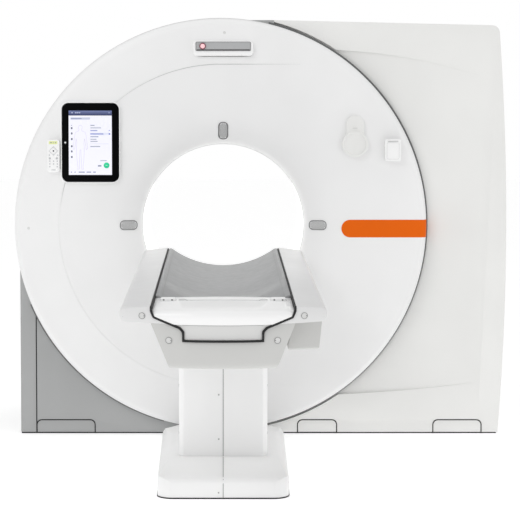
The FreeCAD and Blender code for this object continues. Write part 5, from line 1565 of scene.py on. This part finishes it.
    def box(self) -> None:
        """The accessory box's lid joint, finger lip and hinges."""
        inward = (-1.0, 0.0, 0.0)
        lid = drawn("accessory_box", [(BESIDE, y, 748.0) for y in self.lid_stations], inward, 0.2)
        Bead("box_lid_joint", [lid], 2.2, body=Body.TABLE, corners=FINE).build()
        lip = drawn("accessory_box", [(BESIDE, y, 741.0) for y in self.lip_stations], inward)
        Bead("box_finger_lip", [lip], 7.0, ABS_WARM, Body.TABLE, ends=(0.2, 0.2)).build()
        hinge = slat("hinge", (16.0, 5.0), 4.0, (2.4, 1.0), 0.6, along_y=True)
        knuckles = drawn("accessory_box", [(BESIDE, y, 756.0) for y in (-1890.0, -1590.0)], inward)
        Studs("box_hinges", knuckles, (1, 0, 0), hinge, ABS_WARM, Body.TABLE).build()

    def cap_marks(self) -> None:
        """Painted shade on the end cap: the shadow line under its face, and pale grey lines along the grip
        slot's edge and round the lugs.
        """
        reach = self.cap_shade_line_half
        joint = [(x * MM, (self.bow_at(x) + 4.0) * MM, self.cap_shade_line_height * MM)
                 for x in range(-reach, reach + 1, 12)]
        # Painted shadow: a grey line under the face's step.
        Bead("cap_joint", [joint], 3.0, body=Body.CRADLE, flat=0.7).build()
        (spread, along), (wide, long) = self.lug, self.lug_half
        outlines = [dense(rounded(*self.grip, 18, 6), 20.0)]
        for middle in (-spread, spread):
            lug = rounded(middle - wide, middle + wide, along - long, along + long, 10, 4)
            outlines.append(dense(lug, 12.0))
        runs = [drawn("cradle_end_cap", [(x, y, OVERHEAD) for x, y in outline], DOWN, 0.2)
                for outline in outlines]
        # Painted shade: pale grey lines round the grip slot and the lugs.
        Bead("cap_mark_lines", runs, 1.8, PALE_SHADE_LINE_GREY, Body.CRADLE, closed=True, corners=FINE).build()

    def bed_joints(self) -> None:
        """Painted shade: fine grey lines along the folds on both sides of the bed's hollow."""
        runs = [drawn("cradle_shell", [(side, y, OVERHEAD) for y in self.bed_stations], DOWN, 0.2)
                for side in (-self.bed_side, self.bed_side)]
        Bead("bed_joints", runs, 1.6, body=Body.CRADLE, corners=FINE).build()

    def latches(self) -> None:
        """Two small release dots on the face of each latch lug."""
        spread, along = self.lug
        dot = lathe("dot", [(0.0030, -0.0004), (0.0030, 0.0004), (0.0022, 0.0009)], 16)
        starts = [(middle + off, along - 400.0, self.lug_top - 3.4) for middle in (-spread, spread)
                  for off in (-self.latch_spread, self.latch_spread)]
        places = drawn("cradle_end_cap", starts, (0, 1, 0))
        Studs("latch_dots", places, (0, -1, 0), dot, body=Body.CRADLE).build()

    def build(self) -> None:
        """Builds the small parts."""
        self.edges()
        self.cap_marks()
        self.bed_joints()
        self.screws()
        self.flanks()
        self.box()
        self.latches()


@dataclass
class Pedestal:
    """The pedestal's middle seam, its screws and the black strip that paints the shadow line under the foot.
    """

    column_front: float = -1024.0
    column_low: float = 106.0
    column_high: float = 640.0
    column_screws: tuple[float, ...] = (346.0, 174.0)
    foot_front: float = -1304.0
    foot_edge: float = 79.0
    foot_top: float = 108.0
    foot_half: float = 246.0
    foot_rear: Flat = (258.0, -6.0)
    foot_round: float = 62.0
    foot_screw: float = 24.0
    screw_side: float = -17.0
    seam_width: float = 2.5
    column_rows: tuple[Flat, ...] = tuple((y, z) for y in (-975.0, -610.0) for z in (190.0, 375.0, 560.0))
    foot_rows: tuple[Flat, ...] = tuple((y, 40.0) for y in (-1190.0, -930.0, -670.0, -410.0, -150.0))

    def seams(self) -> None:
        """The seam between the halves of the column and of the foot, and the black strip on the floor that
        paints the foot's shadow line.
        """
        front, edge = self.foot_front, self.foot_edge
        face = (self.column_front - 0.2) * MM
        column = [(0.0, face, z * MM) for z in (self.column_low, self.column_high)]
        Bead("column_seam", [column], self.seam_width, body=Body.SHROUD, flat=0.7).build()
        profile = ((self.column_front - 14, self.foot_top), (front + 22, edge), (front + 6.5, edge - 6.5),
                   (front, edge - 22), (front, 4.0))
        Bead("foot_seam", [[(0.0, y * MM, z * MM) for y, z in profile]], self.seam_width, flat=0.7).build()
        bend = self.foot_round
        corner = [(self.foot_half - bend + bend * math.sin(turn), front + bend * (1 - math.cos(turn)))
                  for turn in (math.radians(9 * step) for step in range(11))]
        side = corner + [self.foot_rear]
        outline = [(-x, y) for x, y in reversed(side)] + side
        # Painted shadow: a black strip on the floor round the foot.
        Bead("foot_floor_joint", [lying(outline, 2.5)], 5.0, RUBBER_AND_FLOOR_SHADOW).build()

    def side_screws(self) -> None:
        """The fixing screws along the sides of the column and of the foot."""
        screw = head((5.5, 4.8, 2.0, 1.5), (-2.0, 0.6, 1.3, 0.5))
        for name, body, rows in (("column", Body.SHROUD, self.column_rows),
                                 ("foot", Body.STAND, self.foot_rows)):
            for side, way in SIDES:
                starts = [(-BESIDE * way, y, z) for y, z in rows]
                places = drawn(f"{name}_cover_{side}", starts, (way, 0.0, 0.0))
                Studs(f"{name}_side_screws_{side}", places, (-way, 0, 0), screw, body=body).build()

    def front_screws(self) -> None:
        """The screws beside the middle seam, each with a dark stud that paints the shade in its socket."""
        screw = head((4.2, 3.7, 2.0, 1.8), (-1.0, 0.4, 0.9, 0.2))
        socket = lathe("socket", [(0.0019, 0.0), (0.0019, 0.0006), (0.0012, 0.0008)], 12)
        for name, body, y, heights in (
                ("column_screws", Body.SHROUD, self.column_front - 0.2, self.column_screws),
                ("foot_screw", Body.STAND, self.foot_front, (self.foot_screw,))):
            places = [(self.screw_side * MM, y * MM, z * MM) for z in heights]
            Studs(name, places, (0, -1, 0), screw, SEAM_PALE, body).build()
            # Painted shade: a dark stud for the inside of each socket.
            Studs(f"{name}_sockets", places, (0, -1, 0), socket, DARK_TRIM_AND_HOLLOW_SHADE, body).build()

    def build(self) -> None:
        """Builds the seam lines and the screws."""
        self.seams()
        self.side_screws()
        self.front_screws()


class Side(Enum):
    """A face of the gantry, as the direction in which rays come to it from outside."""

    RIGHT = (-1.0, 0.0, 0.0)
    LEFT = (1.0, 0.0, 0.0)
    REAR = (0.0, -1.0, 0.0)
    TOP = (0.0, 0.0, -1.0)

    def start(self, across: float, up: float) -> Point:
        """Where the ray to a place on the face starts, 3 m away.

        Args:
            across: The place along the face: x at the rear and the top, y at the sides, in mm.
            up: Its height, or its y on the top, in mm.

        Returns:
            The start in mm.
        """
        way = Vector(self.value) * -3000.0
        if self in (Side.RIGHT, Side.LEFT):
            return way.x, across, up
        return (across, way.y, up) if self is Side.REAR else (across, up, way.z)

    def lay(self, node: str, spots: list[Flat], sink: float = 0.0) -> list[Point]:
        """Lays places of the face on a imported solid.

        Args:
            node: The solid's name.
            spots: The places as across and up, in mm.
            sink: How far under the face they go, in mm.

        Returns:
            The places in metres.
        """
        return drawn(node, [self.start(*spot) for spot in spots], self.value, sink)

    def outward(self) -> Point:
        """The direction that the face looks in."""
        return tuple(-part for part in self.value)


@dataclass
class Louvres:
    """A bank of air slots: a dark bar that paints the shade of each opening, under a small hood, repeated
    along a face.
    """

    name: str
    node: str
    side: Side
    middle: Flat
    count: int
    length: float = 300.0
    pitch: float = 21.0
    hood_lift: float = 6.0

    def bars(self, suffix: str, lift: float, height: float, proud: float, finish: Finish) -> None:
        """One bar for each slot.

        Args:
            suffix: The piece's name after the bank's.
            lift: How far the bars sit from the slots' middles, in mm.
            height: Their width across the slot, in mm.
            proud: How far they stand out, in mm.
            finish: What they are made of.
        """
        bar = slat(suffix, (self.length / 2, height / 2), height * 0.4, (proud, 1.5), 0.5,
                   along_y=self.side is not Side.REAR)
        across, up = self.middle
        rows = [(step - (self.count - 1) / 2) * self.pitch for step in range(self.count)]
        if self.side is Side.TOP:
            spots = [(across + row + lift, up) for row in rows]
        else:
            spots = [(across, up + row + lift) for row in rows]
        places = self.side.lay(self.node, spots)
        Studs(f"{self.name}_{suffix}", places, self.side.outward(), bar, finish).build()

    def build(self) -> None:
        """Builds the dark bars that paint the openings' shade, and the hoods over them; the hoods are
        pressed in the cover's own colour.
        """
        hood = COVER_GREY if FINISH_OF[self.node] is COVER_GREY else COVER_WHITE
        # Painted shade: dark bars for the insides of the slots.
        self.bars("openings", 0.0, 8.0, 0.5, DARK_TRIM_AND_HOLLOW_SHADE)
        self.bars("hoods", self.hood_lift, 5.0, 3.0, hood)


@dataclass
class GantryShell:
    """What the gantry's sides, back and top carry: doors, air slots, grips and rear joints.

    A frame is given by its sides and then its lower and upper edge.
    """

    centre: Flat = (-12.0, 918.0)
    fixing_ring: float = 800.0
    fixings: int = 12
    rings: Flat = (372.0, 620.0)
    grip: Frame = (360.0, 500.0, 1120.0, 1150.0)
    doors: tuple[tuple[str, Side, Frame], ...] = (
        ("right", Side.RIGHT, (130.0, 740.0, 400.0, 1500.0)),
        ("left", Side.LEFT, (130.0, 740.0, 400.0, 1290.0)))
    fastener_inset: float = 34.0
    banks: tuple[Louvres, ...] = (
        Louvres("right_low", "right_side_cover", Side.RIGHT, (435.0, 230.0), 10),
        Louvres("right_high", "right_side_cover", Side.RIGHT, (435.0, 1620.0), 6),
        Louvres("left_low", "left_side_cover", Side.LEFT, (435.0, 230.0), 10),
        Louvres("rear_low_right", "rear_disc_cover", Side.REAR, (330.0, 320.0), 8, 240.0),
        Louvres("rear_low_left", "rear_disc_cover", Side.REAR, (-354.0, 320.0), 8, 240.0),
        Louvres("rear_high", "rear_disc_cover", Side.REAR, (-12.0, 1660.0), 5, 340.0),
        Louvres("roof", "roof_cover", Side.TOP, (-60.0, 435.0), 10, 360.0),
        Louvres("top", "right_side_cover", Side.TOP, (700.0, 435.0), 14, 360.0))

    def door(self, name: str, side: Side, frame_mm: Frame) -> None:
        """A service door in a side cover: its joint, and a quarter-turn fastener near each corner.

        Args:
            name: The side's name.
            side: The face that it is in.
            frame_mm: Its frame.
        """
        node = f"{name}_side_cover"
        joint = side.lay(node, dense(rounded(*frame_mm, 40.0, 6), 25.0))
        Bead(f"{name}_door_joint", [joint], 2.8, closed=True, corners=FINE).build()
        left, right, low, high = frame_mm
        inset = self.fastener_inset
        spots = [(across, up) for across in (left + inset, right - inset)
                 for up in (low + inset, high - inset)]
        fastener = head((9.5, 8.0, 3.0, 2.0), (-2.0, 0.8, 1.6, 0.6), 24)
        Studs(f"{name}_door_fasteners", side.lay(node, spots), side.outward(), fastener).build()

    def hand_grip(self, name: str, side: Side) -> None:
        """A hand grip in a side cover: a dark bead that paints the shade of the hollow, inside a rounded
        lip.

        Args:
            name: The side's name.
            side: The face that it is in.
        """
        node = f"{name}_side_cover"
        left, right, low, high = self.grip
        lip = side.lay(node, dense(rounded(*self.grip, 14.0, 6), 15.0))
        finish = COVER_WHITE if side is Side.RIGHT else COVER_GREY
        Bead(f"{name}_grip_lip", [lip], 5.0, finish, closed=True).build()
        stations = (left + 6, (left + right) / 2, right - 6)
        hollow = [side.lay(node, [(across, low + 5.0 + 5.0 * step) for across in stations])
                  for step in range(5)]
        # Painted shade: a dark flat bead for the inside of the grip's hollow.
        Bead(f"{name}_grip_hollow", hollow, 5.4, DARK_TRIM_AND_HOLLOW_SHADE, flat=0.3, corners=FINE).build()

    def rear(self) -> None:
        """The rear cover's joints, its ring of fixings and the ring joints round it."""
        (x, z), node = self.centre, "rear_disc_cover"
        runs = [Side.REAR.lay(node, [(x, z + sign * reach) for reach in range(372, 880, 24)])
                for sign in (-1, 1)]
        Bead("rear_cover_joint", runs, 3.0, corners=FINE).build()
        places = Side.REAR.lay(node, arc(self.centre, self.fixing_ring, 15, 345, self.fixings - 1))
        fixing = head((11.0, 9.0, 3.5, 2.5), (-3.0, 0.8, 1.8, 0.6), 24)
        Studs("rear_cover_fixings", places, (0, 1, 0), fixing).build()
        circles = [dense(arc(self.centre, reach, 0, 360, 90)[:-1], 60.0) for reach in self.rings]
        rings = [Side.REAR.lay(node, circle, 0.4) for circle in circles]
        Bead("rear_cover_rings", rings, 2.4, PALE_SHADE_LINE_GREY, closed=True, corners=FINE).build()

    def build(self) -> None:
        """Builds all of it."""
        for name, side, frame_mm in self.doors:
            self.door(name, side, frame_mm)
            self.hand_grip(name, side)
        for bank in self.banks:
            bank.build()
        self.rear()


@dataclass
class Machinery:
    """Details of the units under the covers: bolts, fins, plugs, module covers and the cabinet's front."""

    axis: Flat = (0.0, 918.0)
    ring_bolts: int = 36
    rim_bolts: int = 24
    cooler_turn: float = 150.0
    cooler_y: float = 325.0
    fin_count: int = 16
    fin_pitch: float = 15.0
    plugs: tuple[Flat, ...] = ((-45.0, 1508.0), (45.0, 1508.0))
    modules: int = 12
    module_span: float = 23.0
    motor: Flat = (729.0, 408.0)
    motor_middle: float = 0.685
    motor_rear: float = 0.770
    cabinet_door: Frame = (150.0, 720.0, 140.0, 1460.0)
    cabinet_hinges: tuple[float, ...] = (260.0, 800.0, 1340.0)
    cabinet_slots: Flat = (220.0, 1240.0)
    rail_side: float = 164.0
    chassis_side: float = 110.0
    chassis_bolts: tuple[float, ...] = (-1500.0, -1240.0, -500.0, -300.0)

    def bolt(self, across_mm: float, head_mm: float) -> bpy.types.Mesh:
        """A hexagon-socket bolt head on its washer, facing +Z.

        Args:
            across_mm: The head's diameter.
            head_mm: Its height.

        Returns:
            The closed mesh.
        """
        r, h = across_mm / 2 * MM, head_mm * MM
        return lathe("bolt", [(r * 1.5, -0.001), (r * 1.5, 0.0012), (r, 0.0012), (r, h * 0.85),
                              (r * 0.88, h), (r * 0.5, h), (r * 0.45, h * 0.45)], 18)

    def round_bolts(self, name: str, node: str, ring: float, count: int, back: bool, body: Body,
                    size_mm: float = 14.0) -> None:
        """Bolts on a ring about the bore's axis, on the front or the back face of a solid.

        Args:
            name: The piece's name.
            node: The solid that they hold.
            ring: The ring's radius, in mm.
            count: How many.
            back: Whether they are on the far face.
            body: What they move with.
            size_mm: Diameter of the heads.
        """
        start, way = (2000.0, (0.0, -1.0, 0.0)) if back else (-500.0, (0.0, 1.0, 0.0))
        places = drawn(node, [(x, start, z) for x, z in arc(self.axis, ring, 0, 360, count)[:-1]], way)
        outward = tuple(-part for part in way)
        Studs(name, places, outward, self.bolt(size_mm, size_mm * 0.6), GROUND_STEEL, body).build()

    def rotor(self) -> None:
        """The rotor's bolts, the slip ring's studs, the cooler's fins and the tube's plugs."""
        self.round_bolts("inner_ring_bolts", "bearing_inner_ring", 440.0, self.ring_bolts, True, Body.ROTOR)
        self.round_bolts("rim_bolts", "rotor_drum", 728.0, self.rim_bolts, False, Body.ROTOR, 12.0)
        self.round_bolts("slip_ring_studs", "slip_ring", 445.0, 24, True, Body.ROTOR, 9.0)
        turn = math.radians(self.cooler_turn)
        middle = Vector((math.cos(turn), math.sin(turn)))
        across = Vector((-middle.y, middle.x))
        rows = [(step - (self.fin_count - 1) / 2) * self.fin_pitch for step in range(self.fin_count)]
        spots = [Vector(self.axis) + middle * 1200.0 + across * row for row in rows]
        places = drawn("tube_cooler", [(spot.x, self.cooler_y, spot.y) for spot in spots],
                       (-middle.x, 0.0, -middle.y))
        fin = slat("fin", (1.4, 118.0), 1.2, (9.0, 1.0), 0.4)
        Studs("cooler_fins", places, (middle.x, 0.0, middle.y), fin, CAST_ALUMINIUM, Body.ROTOR).build()
        plug = lathe("plug", [(0.017, -0.001), (0.017, 0.012), (0.014, 0.014), (0.014, 0.03),
                              (0.009, 0.034)], 24)
        ends = drawn("xray_tube", [(x, -200.0, z) for x, z in self.plugs], (0.0, 1.0, 0.0))
        Studs("tube_plugs", ends, (0, -1, 0), plug, PHENOLIC, Body.ROTOR).build()

    def detector(self) -> None:
        """The covers of the detector's modules, one beside another round its arc."""
        plate = slat("module", (17.0, 70.0), 3.0, (5.0, 1.0), 0.6)
        places = []
        for x, z in arc(self.axis, 1000.0, 270 - self.module_span, 270 + self.module_span, self.modules):
            way = (Vector(self.axis) - Vector((x, z))).normalized()
            places += drawn("detector_arc", [(x, 345.0, z)], (way.x, 0.0, way.y))
        axis = (0.0, 0.345, self.axis[1] * MM)
        Studs("detector_modules", places, (1, 0, 1), plate, CAST_ALUMINIUM, Body.ROTOR, axis_at=axis).build()

    def drive(self) -> None:
        """The outer ring's and the plate's bolts, and the motor's fins and screws."""
        self.round_bolts("outer_ring_bolts", "bearing_outer_ring", 486.0, self.ring_bolts, True, Body.STAND)
        self.round_bolts("plate_bolts", "bearing_plate", 530.0, 18, False, Body.STAND, 16.0)
        x, z = self.motor
        rib = slat("rib", (1.6, 58.0), 1.2, (7.0, 1.0), 0.4)
        ring = [(spot[0] * MM, self.motor_middle, spot[1] * MM)
                for spot in arc((x, z), 84.5, 0, 360, 30)[:-1]]
        axis = (x * MM, self.motor_middle, z * MM)
        Studs("motor_fins", ring, (1, 0, 1), rib, POWDER_GREY, axis_at=axis).build()
        screws = [(spot[0] * MM, self.motor_rear, spot[1] * MM) for spot in arc((x, z), 68.0, 45, 315, 3)]
        Studs("motor_screws", screws, (0, 1, 0), self.bolt(9.0, 5.0), GROUND_STEEL).build()

    def cabinet(self) -> None:
        """The power cabinet's door joint, hinges and rows of grey bars that paint the shade of its slots, on
        its right face.
        """
        way, node = (-1.0, 0.0, 0.0), "power_cabinet"
        outline = dense(rounded(*self.cabinet_door, 12.0), 60.0)
        joint = drawn(node, [(BESIDE, y, z) for y, z in outline], way)
        Bead("cabinet_door_joint", [joint], 2.4, POWDER_GREY, closed=True, corners=FINE).build()
        pin = lathe("hinge", [(0.007, -0.001), (0.007, 0.007), (0.005, 0.009)], 18)
        hinges = drawn(node, [(BESIDE, 712.0, z) for z in self.cabinet_hinges], way)
        Studs("cabinet_hinges", hinges, (1, 0, 0), pin, GROUND_STEEL).build()
        # Painted shade: grey bars for the insides of the slots.
        slot = slat("slot", (90.0, 2.6), 2.4, (1.2, 1.0), 0.3, along_y=True)
        rows = [(BESIDE, 435.0, base + 16.0 * step) for base in self.cabinet_slots for step in range(9)]
        Studs("cabinet_slots", drawn(node, rows, way), (1, 0, 0), slot, POWDER_GREY).build()

    def table(self) -> None:
        """The bolts along the rails and under the chassis."""
        top = [(side, -2120.0 + 120.0 * step, BESIDE) for side in (-self.rail_side, self.rail_side)
               for step in range(17)]
        Studs("rail_bolts", drawn("guide_rails", top, DOWN), (0, 0, 1), self.bolt(8.0, 3.0), GROUND_STEEL,
              Body.TABLE).build()
        rods = [(side, y, -500.0) for side in (-self.chassis_side, self.chassis_side)
                for y in self.chassis_bolts]
        Studs("chassis_bolts", drawn("table_chassis", rods, (0.0, 0.0, 1.0)), (0, 0, -1),
              self.bolt(14.0, 8.0), GROUND_STEEL, Body.TABLE).build()

    def build(self) -> None:
        """Builds every detail."""
        self.rotor()
        self.detector()
        self.drive()
        self.cabinet()
        self.table()


def build_scanner() -> None:
    """Builds the finer pieces, sub-assembly by sub-assembly."""
    FrontDisc().build()
    ease_edges()
    GantrySeams().build()
    FrontFittings().build()
    Screen().build()
    Remote().build()
    PatientTable().build()
    Pedestal().build()
    GantryShell().build()
    Machinery().build()


# ---------------------------------------------------------------- the room


@dataclass
class Studio:
    """The floor, the lights and the photographed view."""

    eye: Point = (0.0, -8.895, 1.612)
    lens_mm: float = 143.16
    pitch: float = -3.693
    shift: Flat = (0.0708, -0.12)
    floor_size: float = 40.0
    lights: tuple[tuple[str, Point, Point, float, float, float], ...] = (
        ("key", (-3.0, -4.5, 4.6), (0.0, 0.0, 0.9), 2.5, 54.5, 180.0),
        ("fill", (5.5, -5.0, 2.4), (0.2, 0.0, 0.9), 4.0, 29.0, 180.0),
        ("top", (0.0, -0.6, 5.0), (0.0, -0.4, 0.0), 3.0, 18.0, 180.0),
        ("low_left", (-2.4, -0.7, 2.0), (0.0, -0.8, 0.1), 0.6, 0.5, 36.0),
        ("low_right", (2.4, -0.7, 2.0), (0.0, -0.8, 0.1), 0.6, 0.5, 36.0),
    )
    sky: float = 0.64
    backdrop: float = 1.0

    def camera(self) -> None:
        """Places the camera where the photograph was taken from."""
        data = bpy.data.cameras.new("camera")
        data.lens = self.lens_mm
        data.sensor_width = 36.0
        data.shift_x, data.shift_y = self.shift
        data.clip_end = 100.0
        camera = bpy.data.objects.new("camera", data)
        camera.location = self.eye
        camera.rotation_euler = (math.radians(90 + self.pitch), 0.0, 0.0)
        bpy.context.scene.collection.objects.link(camera)
        bpy.context.scene.camera = camera

    def floor(self) -> None:
        """Lays the pale floor, with nothing behind it but the white room."""
        half = self.floor_size / 2
        mesh = bpy.data.meshes.new("studio_floor")
        corners = [(-half, -half, 0), (half, -half, 0), (half, half, 0), (-half, half, 0)]
        mesh.from_pydata(corners, [], [(0, 1, 2, 3)])
        mesh.materials.append(FLOOR_PALE.build())
        shade(mesh)
        floor = bpy.data.objects.new("studio_floor", mesh)
        bpy.context.scene.collection.objects.link(floor)

    def light(self) -> None:
        """Hangs the soft lights and sets the even light of the room."""
        for name, place, target, width, power, spread in self.lights:
            data = bpy.data.lights.new(name, "AREA")
            data.size = width
            data.energy = power
            data.spread = math.radians(spread)
            lamp = bpy.data.objects.new(name, data)
            lamp.location = place
            lamp.rotation_euler = (Vector(target) - Vector(place)).to_track_quat("-Z", "Y").to_euler()
            bpy.context.scene.collection.objects.link(lamp)
        world = bpy.data.worlds.new("room_light")
        world.use_nodes = True
        tree = world.node_tree
        backdrop = tree.nodes["Background"]
        backdrop.inputs["Color"].default_value = (1.0, 1.0, 1.0, 1.0)
        seen = add_node(tree, "ShaderNodeMapRange", {
            "Value": add_node(tree, "ShaderNodeLightPath").outputs["Is Camera Ray"],
            "To Min": self.sky, "To Max": self.backdrop})
        tree.links.new(seen.outputs["Result"], backdrop.inputs["Strength"])
        bpy.context.scene.world = world
        bpy.context.scene.view_settings.view_transform = "Standard"

    def build(self) -> None:
        """Sets up the whole room."""
        self.camera()
        self.floor()
        self.light()


def dress_nodes() -> None:
    """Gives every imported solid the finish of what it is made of."""
    for node, finish in FINISH_OF.items():
        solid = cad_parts[node]
        if not solid.material_slots:
            solid.data.materials.append(finish.build())
        for place in solid.material_slots:
            place.material = finish.build()


def main() -> None:
    """Builds the room and dresses the scanner."""
    logging.basicConfig(level=logging.INFO, format="%(name)s: %(message)s")
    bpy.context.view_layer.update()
    Studio().build()
    dress_nodes()
    build_scanner()


if __name__ == "__main__":
    main()
